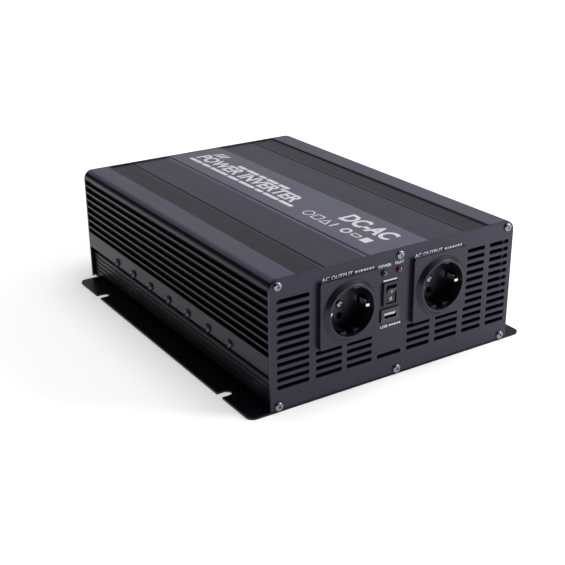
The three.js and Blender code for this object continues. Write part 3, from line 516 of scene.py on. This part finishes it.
def socket_body(x):
    """One socket: its plate, collar with recess, floor with holes, and four guide ribs."""
    plate = upright([rounded(x, socket_z, plate_wide, plate_wide, 1.6), circle(x, socket_z, cup_r, 48)],
                    front - plate_proud, plate_proud - 0.05)
    soften(plate, face_rims(plate, front - plate_proud), 0.6, 3)
    wall = [(cup_r, cup_back), (cup_r, front - 1), (24.6, front - plate_proud + 0.2), (24.5, front - plate_proud - 0.1)]
    wall += [(24.0, front - plate_proud - 0.7), (22.2, mouth + 1.0), (21.8, mouth + 0.35), (21.2, mouth)]
    wall += [(20.3, mouth), (19.9, mouth + 0.15), (recess_r, mouth + 0.6), (recess_r, cup_floor - 0.4)]
    wall += [(recess_r, cup_back), (cup_r, cup_back)]
    collar = turned(wall, (x, 0, socket_z), "y", 72)
    pin_holes = [circle(x, socket_z + k * pin_apart / 2, pin_r, 24) for k in (-1, 1)]
    ways = [rounded(x + k * (clip_r + 0.2), socket_z, 3.2, 5.6, 0.3, 2) for k in (-1, 1)]
    floor_outlines = [circle(x, socket_z, recess_r + 0.1, 60)] + pin_holes + [circle(x, socket_z, 1.9, 16)] + ways
    floor = upright(floor_outlines, cup_floor, cup_back - cup_floor)
    ribs = [box((x + side * 6 - 2.6, mouth + 3.5, socket_z + min(k * 16.4, k * 19.6)),
                (x + side * 6 + 2.6, cup_floor + 0.5, socket_z + max(k * 16.4, k * 19.6)), 0.5)
            for side in (-1, 1) for k in (-1, 1)]
    return merge([plate, collar, floor] + ribs)


def earth_clip(x, side):
    """One clip: a strip up the recess wall that narrows to a tongue and bends in to a rounded lip."""
    tip = mouth + 3.6
    strip = box((x + side * clip_r - 0.45 + side * 0.45, tip + 5, socket_z - 2.5),
                (x + side * clip_r + 0.45 + side * 0.45, cup_back + 1, socket_z + 2.5), 0.2)
    line = [(clip_r, tip + 7), (clip_r - 2.6, tip + 2.6), (clip_r - 2.4, tip + 0.9), (clip_r + 0.3, tip)]
    back = [(clip_r + 0.9, tip + 0.9), (clip_r - 1.2, tip + 1.7), (clip_r - 1.4, tip + 2.4), (clip_r + 0.9, tip + 7)]
    tongue = sheet([[(x + side * d, y, socket_z - 1.2) for d, y in line + back]], (0, 0, 2.4))
    soften(tongue, sharp_edges(tongue, 50), 0.15, 2)
    return merge([strip, tongue])


for hand, x in zip(("left", "right"), socket_xs):
    place_piece(f"{hand}_socket_moulding", socket_body(x), black_plastic, stands_for=[f"{hand}_socket_body"],
                even=True)
    place_piece(f"{hand}_earth_clips", merge([earth_clip(x, -1), earth_clip(x, 1)]), nickel,
                stands_for=[f"{hand}_socket_earth_strap"])
    head = bmesh.new()
    stamp(head, screw_head(3.3, 1.8, 0.6, 0.8, 3.6, 1.2), to_front @ Matrix.Rotation(0.4, 4, "Z"),
          (x, cup_floor - 0.05, socket_z))
    place_piece(f"{hand}_insert_screw", head, zinc, stands_for=[f"{hand}_socket_screw"], sharp_over=40)

# ---- Rocker switch ----
# A snap-in switch in black plastic. Its bezel sits on the panel, and the rocker tilts about a pin behind the panel,
# with a white bar on its upper half and a white ring on its lower half.

switch_wide, switch_tall, switch_proud = 15, 19.6, 2
rocker_wide, rocker_half, rocker_face, rocker_dish, rocker_tilt = 8.8, 6.4, 5.6, 1.5, 10
pivot = Vector((control_x, front + 3, switch_z))

mouth_outline = rounded(control_x, switch_z, rocker_wide + 0.8, 2 * rocker_half + 2.6, 0.6)
bezel = upright([rounded(control_x, switch_z, switch_wide, switch_tall, 1.0), mouth_outline],
                front - switch_proud, switch_proud - 0.05)
soften(bezel, face_rims(bezel, front - switch_proud), 0.5, 3)
mouth_walls = upright([rounded(control_x, switch_z, 12.8, 17.6, 0.8), mouth_outline], front - 0.5, 15.5)
gloss_black = moulded("black_polished_polycarbonate", "black_moulded_plastic", "08080A", "0E0E12", 0.24, 0.5, 0.1,
                      specular=0.35)
place_piece("switch_bezel", merge([bezel, mouth_walls]), gloss_black, stands_for=["switch_housing"], even=True)

lean = Matrix.Translation(pivot) @ Matrix.Rotation(math.radians(rocker_tilt), 4, "X")
side_view = [(-rocker_face + rocker_dish, 0), (-rocker_face, rocker_half), (-1, rocker_half + 0.4)]
side_view += arc(0, 0, 5.6, 60, -60, 10) + [(-1, -rocker_half - 0.4), (-rocker_face, -rocker_half)]
rocker = sheet([[(-rocker_wide / 2, y, z) for y, z in side_view]], (rocker_wide, 0, 0))
soften(rocker, sharp_edges(rocker, 25), 0.45, 3)
bmesh.ops.transform(rocker, matrix=lean, verts=rocker.verts)
place_piece("rocker", rocker, gloss_black, body="switch_rocker", stands_for=["switch_rocker"], even=True)

# White pad-printing ink: matt, very slightly mottled, a few hundredths of a millimetre thick.
white_ink = mottled("white_pad_printing_ink", "", "C4C4CC", "E2E2E8", 1.5, 2, Roughness=0.55)

slope = math.atan2(rocker_dish, rocker_half)
marks = []
for flat, up in (([rounded(0, 0, 0.6, 2.5, 0.2, 2)], 1), ([circle(0, 0, 1.3, 28), circle(0, 0, 0.85, 28)], -1)):
    mark = upright(flat, -0.04, 0.06)
    turn = Matrix.Rotation(up * slope, 4, "X")
    at = Matrix.Translation((0, -rocker_face + rocker_dish / 2, up * rocker_half / 2))
    bmesh.ops.transform(mark, matrix=lean @ at @ turn, verts=mark.verts)
    marks.append(mark)
place_piece("rocker_marks", merge(marks), white_ink, body="switch_rocker")

# ---- Lamps ----
# Two round indicator lamps stand through the panel, green for power and red for a fault: clear tinted epoxy domes.

for label, x, slot, dark, light in (("power", lamp_xs[0], "green_lens", "082E28", "12584A"),
                                    ("fault", lamp_xs[1], "red_lens", "4A0A16", "861A2C")):
    lens = mottled(f"{label}_lamp_tinted_epoxy", slot, dark, light, 1.6, 1, Roughness=0.08, IOR=1.54,
                   Transmission_Weight=0.35, Coat_Weight=0.5, Coat_Roughness=0.04)
    profile = [(0, front - 3)] + [(lamp_r * math.sin(t), front - 0.6 - 2.4 * math.cos(t))
                                  for t in (math.pi / 2 * i / 8 for i in range(1, 9))]
    profile += [(lamp_r, front + 2.3), (3.1, front + 2.3), (3.1, front + 3.5), (0, front + 3.5)]
    place_piece(f"{label}_lamp_dome", turned(profile, (x, 0, lamp_z), "y", 32), lens,
                stands_for=[f"{label}_lamp"])

# ---- USB port ----
# A panel-mount USB-A socket: a grey moulded surround, a folded steel shell, and a tongue; its four contacts are not
# drawn.

usb_wide, usb_tall, usb_proud, shell_wall = 13.1, 5.7, 1.6, 0.4
surround_wide, surround_tall = 17.8, 11.4
grey_plastic = moulded("grey_moulded_abs", "grey_moulded_plastic", "26252A", "36343A", 0.45, 0.6, 0)
pale_plastic = moulded("pale_moulded_nylon", "grey_moulded_plastic", "B6B4B2", "D2D0CC", 0.4, 0.6, 0)
surround = upright([rounded(control_x, usb_z, surround_wide, surround_tall, 0.8),
                    rounded(control_x, usb_z, usb_wide + 0.3, usb_tall + 0.3, 0.5)],
                   front - usb_proud, usb_proud - 0.05)
soften(surround, face_rims(surround, front - usb_proud), 0.4, 2)
tongue = box((control_x - 5.4, front - 0.8, usb_z + 0.1), (control_x + 5.4, front + 14, usb_z + 1.9), 0.2)
back_wall = box((control_x - 7, front + 13.5, usb_z - 3), (control_x + 7, front + 15, usb_z + 3), 0.1)
place_piece("usb_surround", surround, grey_plastic, stands_for=["usb_insert"], even=True)
place_piece("usb_tongue", merge([tongue, back_wall]), pale_plastic)
shell_mouth = front - usb_proud - 0.1
shell = upright([rounded(control_x, usb_z, usb_wide, usb_tall, 0.7),
                 rounded(control_x, usb_z, usb_wide - 2 * shell_wall, usb_tall - 2 * shell_wall, 0.4)],
                shell_mouth, usb_proud + 13.8)
soften(shell, face_rims(shell, shell_mouth), 0.12, 2)
place_piece("usb_steel_shell", shell, zinc, stands_for=["usb_shell"], even=True)

# ---- Printing ----
# White screen printing on the front panel and on the cover's label strip. The words are plain and generic, and
# bars and simple marks stand where small print would be.

ink_thick = 0.05


def lettering(words, wide, high, weight=0.0):
    """Words as a thin solid from the origin to a width and a height, flat and facing up."""
    curve = bpy.data.curves.new(words, "FONT")
    curve.body, curve.size, curve.extrude, curve.offset = words, 1.0, 0.5, weight
    curve.resolution_u = 3
    thing = bpy.data.objects.new(words, curve)
    scene.collection.objects.link(thing)
    mesh = bpy.data.meshes.new_from_object(thing.evaluated_get(bpy.context.evaluated_depsgraph_get()))
    bpy.data.objects.remove(thing)
    shape = bmesh.new()
    shape.from_mesh(mesh)
    low = [min(v.co[i] for v in shape.verts) for i in range(3)]
    size = [max(v.co[i] for v in shape.verts) - low[i] for i in range(3)]
    bmesh.ops.translate(shape, vec=[-value for value in low], verts=shape.verts)
    bmesh.ops.scale(shape, vec=(wide / size[0], high / size[1], ink_thick / size[2]), verts=shape.verts)
    return shape


def flat_mark(outlines):
    """A printed mark from flat outlines."""
    return sheet([[(a, b, 0) for a, b in points] for points in outlines], (0, 0, ink_thick))


def laid(shape, across, up, out, at):
    """A printed shape turned so that its width, height and face point along three directions, at a place."""
    turn = Matrix([across, up, out]).transposed().to_4x4()
    bmesh.ops.transform(shape, matrix=Matrix.Translation(at) @ turn, verts=shape.verts)
    return shape


def on_front(shape, x, z):
    """A printed shape on the front panel."""
    return laid(shape, (1, 0, 0), (0, 0, 1), (0, -1, 0), (x, front + 0.01, z))


def on_rear(shape, x, z):
    """A printed shape on the rear panel."""
    return laid(shape, (-1, 0, 0), (0, 0, 1), (0, 1, 0), (x, rear - 0.01, z))


def on_roof_label(shape, x, back):
    """Roof printing reads from the rear to the front, with the tops of its letters to the right."""
    return laid(shape, (0, -1, 0), (1, 0, 0), (0, 0, 1), (x, front + back, label_top))


def bars(lengths, high, space):
    """A row of small bars that stands for a line of small print."""
    marks, start = [], 0.0
    for length in lengths:
        marks.append(flat_mark([rounded(start + length / 2, high / 2, length, high, min(high, length) * 0.3, 2)]))
        start += length + space
    return merge(marks)


front_print = []
for x in (-72.7, 14.4):
    front_print.append(on_front(lettering("AC OUTPUT", 28, 3.1, 0.012), x, 95.9))
    front_print.append(on_front(bars((2.2, 1.3, 2.2, 2.2, 1.3, 2.2, 1.6), 1.9, 0.8), x + 30, 96.4))
front_print.append(on_front(lettering("POWER", 12, 2.3, 0.012), -20.5, 95.1))
front_print.append(on_front(lettering("FAULT", 8.5, 2.3, 0.012), -4.8, 95.1))
front_print.append(on_front(bars((13,), 1.3, 1), -15.4, 82.9))
front_print.append(on_front(lettering("USB", 7, 2.3, 0.012), -17.2, 44.1))
front_print.append(on_front(bars((1.7, 1.2, 2.1, 1.6, 1.7), 1.5, 0.7), -8.8, 44.5))
place_piece("front_panel_printing", merge(front_print), white_ink)

roof_print = [
    on_roof_label(lettering("POWER INVERTER", 171, 15.7, 0.03), -8, 311),
    on_roof_label(bars((22, 15, 30, 18, 26, 12, 24, 20), 4.2, 2.1), -15, 312),
    on_roof_label(bars((14, 20, 11, 18, 16), 4.4, 2.1), 9, 260),
    on_roof_label(lettering("DC-AC", 63, 18, 0.035), 0.8, 84),
]
for back in (309, 303, 297):
    slanted = [(0, 0), (3.2, 0), (7.5, 10), (4.3, 10)]
    roof_print.append(on_roof_label(flat_mark([slanted]), 10, back))
icons = [
    [circle(5.5, 5.5, 5.5, 28), circle(5.5, 5.5, 4.3, 28)],
    [rounded(5.5, 5.5, 10.5, 10.5, 1.5), rounded(5.5, 5.5, 8, 8, 0.8)],
    [[(0, 0), (11, 0), (5.5, 10)], [(2.1, 1.2), (8.9, 1.2), (5.5, 7.4)]],
    [rounded(2, 5.5, 2, 10, 0.6)],
    [circle(5.5, 5.5, 5.2, 28), circle(5.5, 5.5, 3, 28)],
    [rounded(5.5, 5.5, 10, 6, 1), rounded(5.5, 5.5, 7.6, 3.6, 0.6)],
    [rounded(5.5, 5.5, 9, 9, 0.8)],
]
for i, mark in enumerate(icons):
    roof_print.append(on_roof_label(flat_mark(mark), -16, 114 - 13.2 * i))
place_piece("roof_printing", merge(roof_print), white_ink)

# ---- Rear panel ----
# A second 2 mm painted sheet closes the back. It is punched for two fans, two battery terminals and the earth screw.

fan_xs, fan_z, fan_bore, fan_holes = (-38, 38), 54, 33, 61
terminal_xs, terminal_z, earth_z = (-96, 96), 62, 16

rear_holes = [circle(x, fan_z, fan_bore, 64) for x in fan_xs] + [circle(0, earth_z, 2.8, 16)]
rear_holes += [circle(x + i * fan_holes / 2, fan_z + k * fan_holes / 2, 2.1, 16)
               for x in fan_xs for i in (-1, 1) for k in (-1, 1)]
rear_holes += [circle(x, terminal_z, 7.3, 32) for x in terminal_xs]
place_piece("rear_panel_sheet", end_panel(rear - panel_thick, gap, rear_holes), painted, stands_for=["rear_panel"],
            even=True)
rear_print = [
    on_rear(lettering("DC INPUT", 24, 3.1, 0.012), 108, 86), on_rear(lettering("DC INPUT", 24, 3.1, 0.012), -84, 86),
    on_rear(flat_mark([rounded(0, 0, 7, 1.4, 0.3, 2)]), 96, 82),
    on_rear(merge([flat_mark([rounded(0, 0, 7, 1.4, 0.3, 2)]), flat_mark([rounded(0, 2.1, 1.4, 2.8, 0.3, 2)]),
                   flat_mark([rounded(0, -2.1, 1.4, 2.8, 0.3, 2)])]), -96, 81.5),
    on_rear(merge([bars((1.4,), 4.5, 1)] + [flat_mark([rounded(0.7, -1.4 * i, 7 - 2.2 * i, 0.8, 0.2, 2)])
                                            for i in range(3)]), 12, 17),
]
place_piece("rear_panel_printing", merge(rear_print), white_ink)

# ---- Cooling fans ----
# Two 70 mm axial fans, moulded in black glass-filled plastic: a square frame with four struts to the motor seat, and
# a seven-bladed impeller. A chromed wire guard is screwed on outside with four pan-head screws.

fan_size, fan_deep, hub_r, blade_r, blade_count, seat_thick = 70, 25, 15, 31.5, 7, 3
guard_rings, wire, guard_reach = (31.5, 24.3, 17.1, 9.9), 1.8, 30.5
strut_end, strut_half = 33.2, 1.5
fan_back = rear - panel_thick - gap
fan_front = fan_back - fan_deep
fan_plastic = moulded("black_glass_filled_plastic", "black_moulded_plastic", "101014", "1A1A1F", 0.5, 0.8, 0, 0.35)


def rod(a, b, r, sides=16):
    """A round bar between two places."""
    shape = bmesh.new()
    way = Vector(b) - Vector(a)
    bmesh.ops.create_cone(shape, cap_ends=True, segments=sides, radius1=r, radius2=r, depth=way.length)
    turn = way.to_track_quat("Z", "Y").to_matrix().to_4x4()
    bmesh.ops.transform(shape, matrix=Matrix.Translation((Vector(a) + Vector(b)) / 2) @ turn, verts=shape.verts)
    return shape


for hand, x in zip(("left", "right"), fan_xs):
    corners = [(x + i * fan_holes / 2, fan_z + k * fan_holes / 2) for i in (-1, 1) for k in (-1, 1)]
    flat = [rounded(x, fan_z, fan_size, fan_size, 4)] + [circle(x, fan_z, fan_bore, 64)]
    flat += [circle(a, b, 2.1, 16) for a, b in corners]
    fan_frame = upright(flat, fan_front, fan_deep)
    soften(fan_frame, sharp_edges(fan_frame, 80, lambda a, b: abs(a.y - b.y) < 0.01), 0.6, 2)
    seat = turned([(0, fan_front), (hub_r - 0.8, fan_front), (hub_r, fan_front + 0.8), (hub_r, fan_front + seat_thick),
                   (0, fan_front + seat_thick)], (x, 0, fan_z), "y")
    struts = []
    for i, k in ((-1, 0), (1, 0), (0, -1), (0, 1)):
        across_x = sorted((i * hub_r, i * strut_end)) if i else (-strut_half, strut_half)
        across_z = sorted((k * hub_r, k * strut_end)) if k else (-strut_half, strut_half)
        struts.append(box((x + across_x[0], fan_front, fan_z + across_z[0]),
                          (x + across_x[1], fan_front + seat_thick, fan_z + across_z[1]), 0.4))
    place_piece(f"{hand}_fan_housing", merge([fan_frame, seat] + struts), fan_plastic,
                stands_for=[f"{hand}_fan_frame"], even=True)
    near, far = fan_front + seat_thick + 1, fan_back - 2
    parts = [turned([(0, near), (hub_r, near), (hub_r, far - 1.6), (hub_r - 1.6, far), (0, far)], (x, 0, fan_z), "y")]
    for i in range(blade_count):
        blade = bmesh.new()
        bmesh.ops.create_grid(blade, x_segments=8, y_segments=6, size=1)
        for v in blade.verts:
            reach = (v.co.x + 1) / 2
            chord = v.co.y * (7.5 + 3 * reach)
            r = hub_r - 1 + reach * (blade_r - hub_r + 1)
            pitch = math.radians(46 - 16 * reach)
            swing = chord * math.cos(pitch) / r + 0.25 * reach
            lift = (near + far) / 2 + 0.85 * chord * math.sin(pitch) + 0.5 * (1 - v.co.y**2)
            v.co = (r * math.sin(swing), lift, r * math.cos(swing))
        bmesh.ops.recalc_face_normals(blade, faces=blade.faces)
        bmesh.ops.solidify(blade, geom=blade.faces[:], thickness=1.1)
        turn = Matrix.Translation((x, 0, fan_z)) @ Matrix.Rotation(2 * math.pi * i / blade_count, 4, "Y")
        bmesh.ops.transform(blade, matrix=turn, verts=blade.verts)
        parts.append(blade)
    place_piece(f"{hand}_fan_rotor", merge(parts), fan_plastic, body=f"{hand}_fan_impeller",
                stands_for=[f"{hand}_fan_impeller"])
    ring_y = rear + gap + wire / 2
    section = [math.pi / 4 * step for step in range(9)]
    wires = [turned([(r + wire / 2 * math.cos(t), ring_y + wire / 2 * math.sin(t)) for t in section],
                    (x, 0, fan_z), "y", 64) for r in guard_rings]
    wires += [rod((x - guard_reach, ring_y, fan_z - guard_reach * k),
                  (x + guard_reach, ring_y, fan_z + guard_reach * k), wire / 2, 10) for k in (-1, 1)]
    guard = merge(wires)
    for i, (a, b) in enumerate(corners):
        stamp(guard, pan_head, to_rear @ Matrix.Rotation(0.6 * i, 4, "Z"), (a, ring_y + 0.5, b))
    place_piece(f"{hand}_wire_guard", guard, zinc, stands_for=[f"{hand}_fan_guard"], sharp_over=40)

# ---- Battery terminals ----
# Each terminal is a brass stud in a moulded base, red for positive and black for negative. A plated washer and a
# fluted knob with a threaded brass insert clamp a cable lug, and both stand two turns open here.

stud_r, bore_r, base_wide, base_tall, washer_r, washer_tall = 4, 4.4, 29, 6, 9, 1.6
knob_r, flute_count, flute_deep, knob_long, opened = 12, 12, 1.2, 15, 2.5
base_face = rear + gap + base_tall
washer_at = base_face + gap + opened
knob_at = washer_at + washer_tall + gap
stud_tip = knob_at - opened + 12
red_plastic = moulded("red_moulded_polyamide", "red_moulded_plastic", "8E1016", "A81C22", 0.38, 0.7, 0.1)

# Turned brass: a warm yellow metal, dulled in a faint mottle under 1 mm across.
turned_brass = mottled("turned_brass", "brass", "9C7A3C", "C9A65C", 0.8, 2, (0.2, 0.38),
                       Metallic=1.0, Roughness=0.26)

for sign, x, plastic in (("positive", terminal_xs[0], red_plastic), ("negative", terminal_xs[1], black_plastic)):
    base = upright([rounded(x, terminal_z, base_wide, base_wide, 3), circle(x, terminal_z, bore_r, 32)],
                   rear + gap, base_tall)
    soften(base, face_rims(base, base_face), 1.0, 3)
    neck = turned([(bore_r, rear - 3), (7, rear - 3), (7, rear + gap + 0.5), (bore_r, rear + gap + 0.5),
                   (bore_r, rear - 3)], (x, 0, terminal_z), "y", 32)
    place_piece(f"{sign}_base_moulding", merge([base, neck]), plastic, stands_for=[f"{sign}_terminal_base"], even=True)
    bar_back = rear - panel_thick - 1 - gap - 2
    thread = [(0, bar_back - 5), (6.5, bar_back - 5), (6.5, bar_back - gap), (stud_r, bar_back - gap)]
    at = bar_back + 6
    while at < stud_tip - 1.6:
        thread += [(stud_r, at), (stud_r - 0.45, at + 0.6)]
        at += 1.25
    thread += [(stud_r, stud_tip - 0.9), (stud_r - 0.8, stud_tip), (0, stud_tip)]
    place_piece(f"{sign}_brass_stud", turned(thread, (x, 0, terminal_z), "y", 32), turned_brass,
                stands_for=[f"{sign}_terminal_stud"])
    washer = [(bore_r, washer_at), (washer_r - 0.3, washer_at), (washer_r, washer_at + 0.3),
              (washer_r, washer_at + washer_tall - 0.3), (washer_r - 0.3, washer_at + washer_tall),
              (bore_r, washer_at + washer_tall), (bore_r, washer_at)]
    place_piece(f"{sign}_plated_washer", turned(washer, (x, 0, terminal_z), "y"), zinc,
                body=f"{sign}_clamp_washer", stands_for=[f"{sign}_clamp_washer"])
    fluted = []
    for i in range(96):
        t = 2 * math.pi * i / 96
        r = knob_r - flute_deep * (0.5 - 0.5 * math.cos(flute_count * t)) ** 2
        fluted.append((x + r * math.cos(t), terminal_z + r * math.sin(t)))
    knob = upright([fluted, circle(x, terminal_z, bore_r, 32)], knob_at, 13)
    cap = upright([fluted], knob_at + 12.5, knob_long - 12.5)
    soften(cap, face_rims(cap, knob_at + knob_long), 1.2, 3)
    place_piece(f"{sign}_fluted_knob", merge([knob, cap]), plastic, body=f"{sign}_terminal_knob",
                stands_for=[f"{sign}_terminal_knob"], even=True)

# ---- Earth screw ----
# A brass hexagon-headed screw with a washer, low in the middle of the rear panel, for the earth lead.

earth_seat = rear + gap
hexagon = circle(0, earth_z, 4.6, 6)
head = upright([hexagon], earth_seat + 1, 3.5)
soften(head, face_rims(head, earth_seat + 4.5), 0.5, 2)
shank = turned([(0, earth_seat - 9), (2.5, earth_seat - 9), (2.5, earth_seat), (5.7, earth_seat), (6, earth_seat + 0.3),
                (6, earth_seat + 0.8), (5.7, earth_seat + 1), (0, earth_seat + 1)], (0, 0, earth_z), "y", 32)
place_piece("earth_hexagon_screw", merge([head, shank]), turned_brass, stands_for=["earth_screw"])

# ---- Inside parts ----
# The circuit boards, transformers, choke, capacitors, busbars and socket contacts, seen dimly through the slots.

# Solder mask on glass-epoxy: dark green gloss, with paler runs round cells of about 6 mm, for the tracks.
solder_mask, tree, shader, places = start_material("green_solder_mask", "circuit_board", Roughness=0.35, IOR=1.5)
tracks = add(tree, "ShaderNodeTexVoronoi", {"Scale": 1 / (6 * MM), "feature": "DISTANCE_TO_EDGE"},
             {"Vector": (places, "Object")})
edge = add(tree, "ShaderNodeMapRange", {"From Max": 0.12, "To Min": 1.0, "To Max": 0.0},
           {"Value": (tracks, "Distance")})
tone = add(tree, "ShaderNodeMix", {"data_type": "RGBA", 6: linear("06140F"), 7: linear("14352A")},
           {0: (edge, "Result")})
tree.links.new(tone.outputs[2], shader.inputs["Base Color"])

# Bare copper, rolled: a red-brown metal with cloudy tarnish over about 5 mm.
copper = mottled("tarnished_rolled_copper", "copper", "7A4630", "B87355", 5, 4, Metallic=1.0, Roughness=0.35)

# Sintered ferrite under wound tape: dark and dry, with bands about every 6 mm for the winding under it.
ferrite, tree, shader, places = start_material("ferrite_and_winding_tape", "ferrite_and_winding", Roughness=0.6)
turns = add(tree, "ShaderNodeTexWave", {"Scale": 1 / (19 * MM), "Distortion": 0.4}, {"Vector": (places, "Object")})
tone = add(tree, "ShaderNodeMix", {"data_type": "RGBA", 6: linear("16140F"), 7: linear("3B3220")}, {0: (turns, "Fac")})
tree.links.new(tone.outputs[2], shader.inputs["Base Color"])

# Shrunk vinyl sleeve: black and slightly glossy, with shallow wrinkles about 8 mm across.
sleeve, tree, shader, places = start_material("shrunk_vinyl_sleeve", "capacitor_sleeve", Roughness=0.3)
wrinkles = add(tree, "ShaderNodeTexNoise", {"Scale": 1 / (8 * MM), "Detail": 2}, {"Vector": (places, "Object")})
tone = add(tree, "ShaderNodeMix", {"data_type": "RGBA", 6: linear("101016"), 7: linear("23232E")},
           {0: (wrinkles, "Fac")})
puckered = add(tree, "ShaderNodeBump", {"Strength": 0.3, "Distance": 0.2 * MM}, {"Height": (wrinkles, "Fac")})
tree.links.new(tone.outputs[2], shader.inputs["Base Color"])
tree.links.new(puckered.outputs["Normal"], shader.inputs["Normal"])

inside_finishes = {
    "main_board": solder_mask, "indicator_board": solder_mask, "front_transformer": ferrite,
    "rear_transformer": ferrite, "output_choke": ferrite, "front_capacitor": sleeve, "rear_capacitor": sleeve,
    "positive_busbar": copper, "negative_busbar": copper,
}
for hand in ("left", "right"):
    inside_finishes[f"{hand}_socket_back"] = black_plastic
    for level in ("lower", "upper"):
        inside_finishes[f"{hand}_socket_{level}_contact"] = turned_brass
for name, finish in inside_finishes.items():
    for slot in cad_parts[name].material_slots:
        slot.material = finish

# ---- Camera, light and floor ----
# A long lens looks down on the front left corner. The case stands on a pale paper sweep, which glows more strongly
# away from the case so that it runs out to white.

eye = Vector((-0.4746, front * MM - 0.576, 0.3903))
look = Vector((0.4966, 0.7773, -0.3862))
camera_data = bpy.data.cameras.new("camera")
camera_data.sensor_width = 36
camera_data.lens = 66.6
camera = bpy.data.objects.new("camera", camera_data)
scene.collection.objects.link(camera)
camera.location = eye
camera.rotation_mode = "QUATERNION"
roll = Matrix.Rotation(math.radians(-0.56), 3, "Z").to_quaternion()
camera.rotation_quaternion = look.to_track_quat("-Z", "Y") @ roll
camera_data.clip_start, camera_data.clip_end = 0.05, 20
scene.camera = camera

# The room is a white one with a dark side above the left, so the roof and panel shine and the rounded shoulder stays
# dark. A large softbox hangs overhead, and a smaller one at the right gives the small highlights.
scene.view_settings.view_transform = "Standard"
world = bpy.data.worlds.new("studio")
world.use_nodes = True
tree = world.node_tree
outlook = add(tree, "ShaderNodeTexCoord", {})
heading = add(tree, "ShaderNodeSeparateXYZ", {}, {0: (outlook, "Generated")})
lit_side = add(tree, "ShaderNodeMapRange", {"From Min": -0.25, "From Max": 0.45, "To Min": 0.02, "To Max": 0.42,
                                            "interpolation_type": "SMOOTHSTEP"}, {"Value": (heading, "X")})
tree.nodes["Background"].inputs["Color"].default_value = linear("FFFFFF")
tree.links.new(lit_side.outputs["Result"], tree.nodes["Background"].inputs["Strength"])
scene.world = world


def soft_light(name, at, target, size, power):
    """A round softbox at a place, facing a target."""
    data = bpy.data.lights.new(name, "AREA")
    data.shape, data.size, data.energy = "DISK", size, power
    light = bpy.data.objects.new(name, data)
    scene.collection.objects.link(light)
    light.location = at
    light.rotation_mode = "QUATERNION"
    light.rotation_quaternion = (Vector(target) - Vector(at)).to_track_quat("-Z", "Y")


soft_light("overhead_softbox", (0.25, 0.1, 1.8), (0, 0, 0.05), 1.6, 20)
soft_light("right_softbox", (0.85, -0.8, 0.6), (0.08, -0.1, 0.05), 0.5, 9)

ground = bmesh.new()
bmesh.ops.create_grid(ground, x_segments=1, y_segments=1, size=8)
mesh = bpy.data.meshes.new("floor")
ground.to_mesh(mesh)
ground.free()
floor_material, tree, shader, places = start_material("pale_paper_sweep", "", Roughness=0.9, Emission_Strength=0.4)
shader.inputs["Base Color"].default_value = linear("F4F4F4")
shader.inputs["Emission Color"].default_value = linear("FFFFFF")
reach = add(tree, "ShaderNodeVectorMath", {"operation": "LENGTH"}, {0: (places, "Object")})
glow = add(tree, "ShaderNodeMapRange", {"From Min": 0.25, "From Max": 1.1, "To Min": 0.4, "To Max": 1.0},
           {"Value": (reach, "Value")})
tree.links.new(glow.outputs["Result"], shader.inputs["Emission Strength"])
mesh.materials.append(floor_material)
floor = bpy.data.objects.new("floor", mesh)
scene.collection.objects.link(floor)
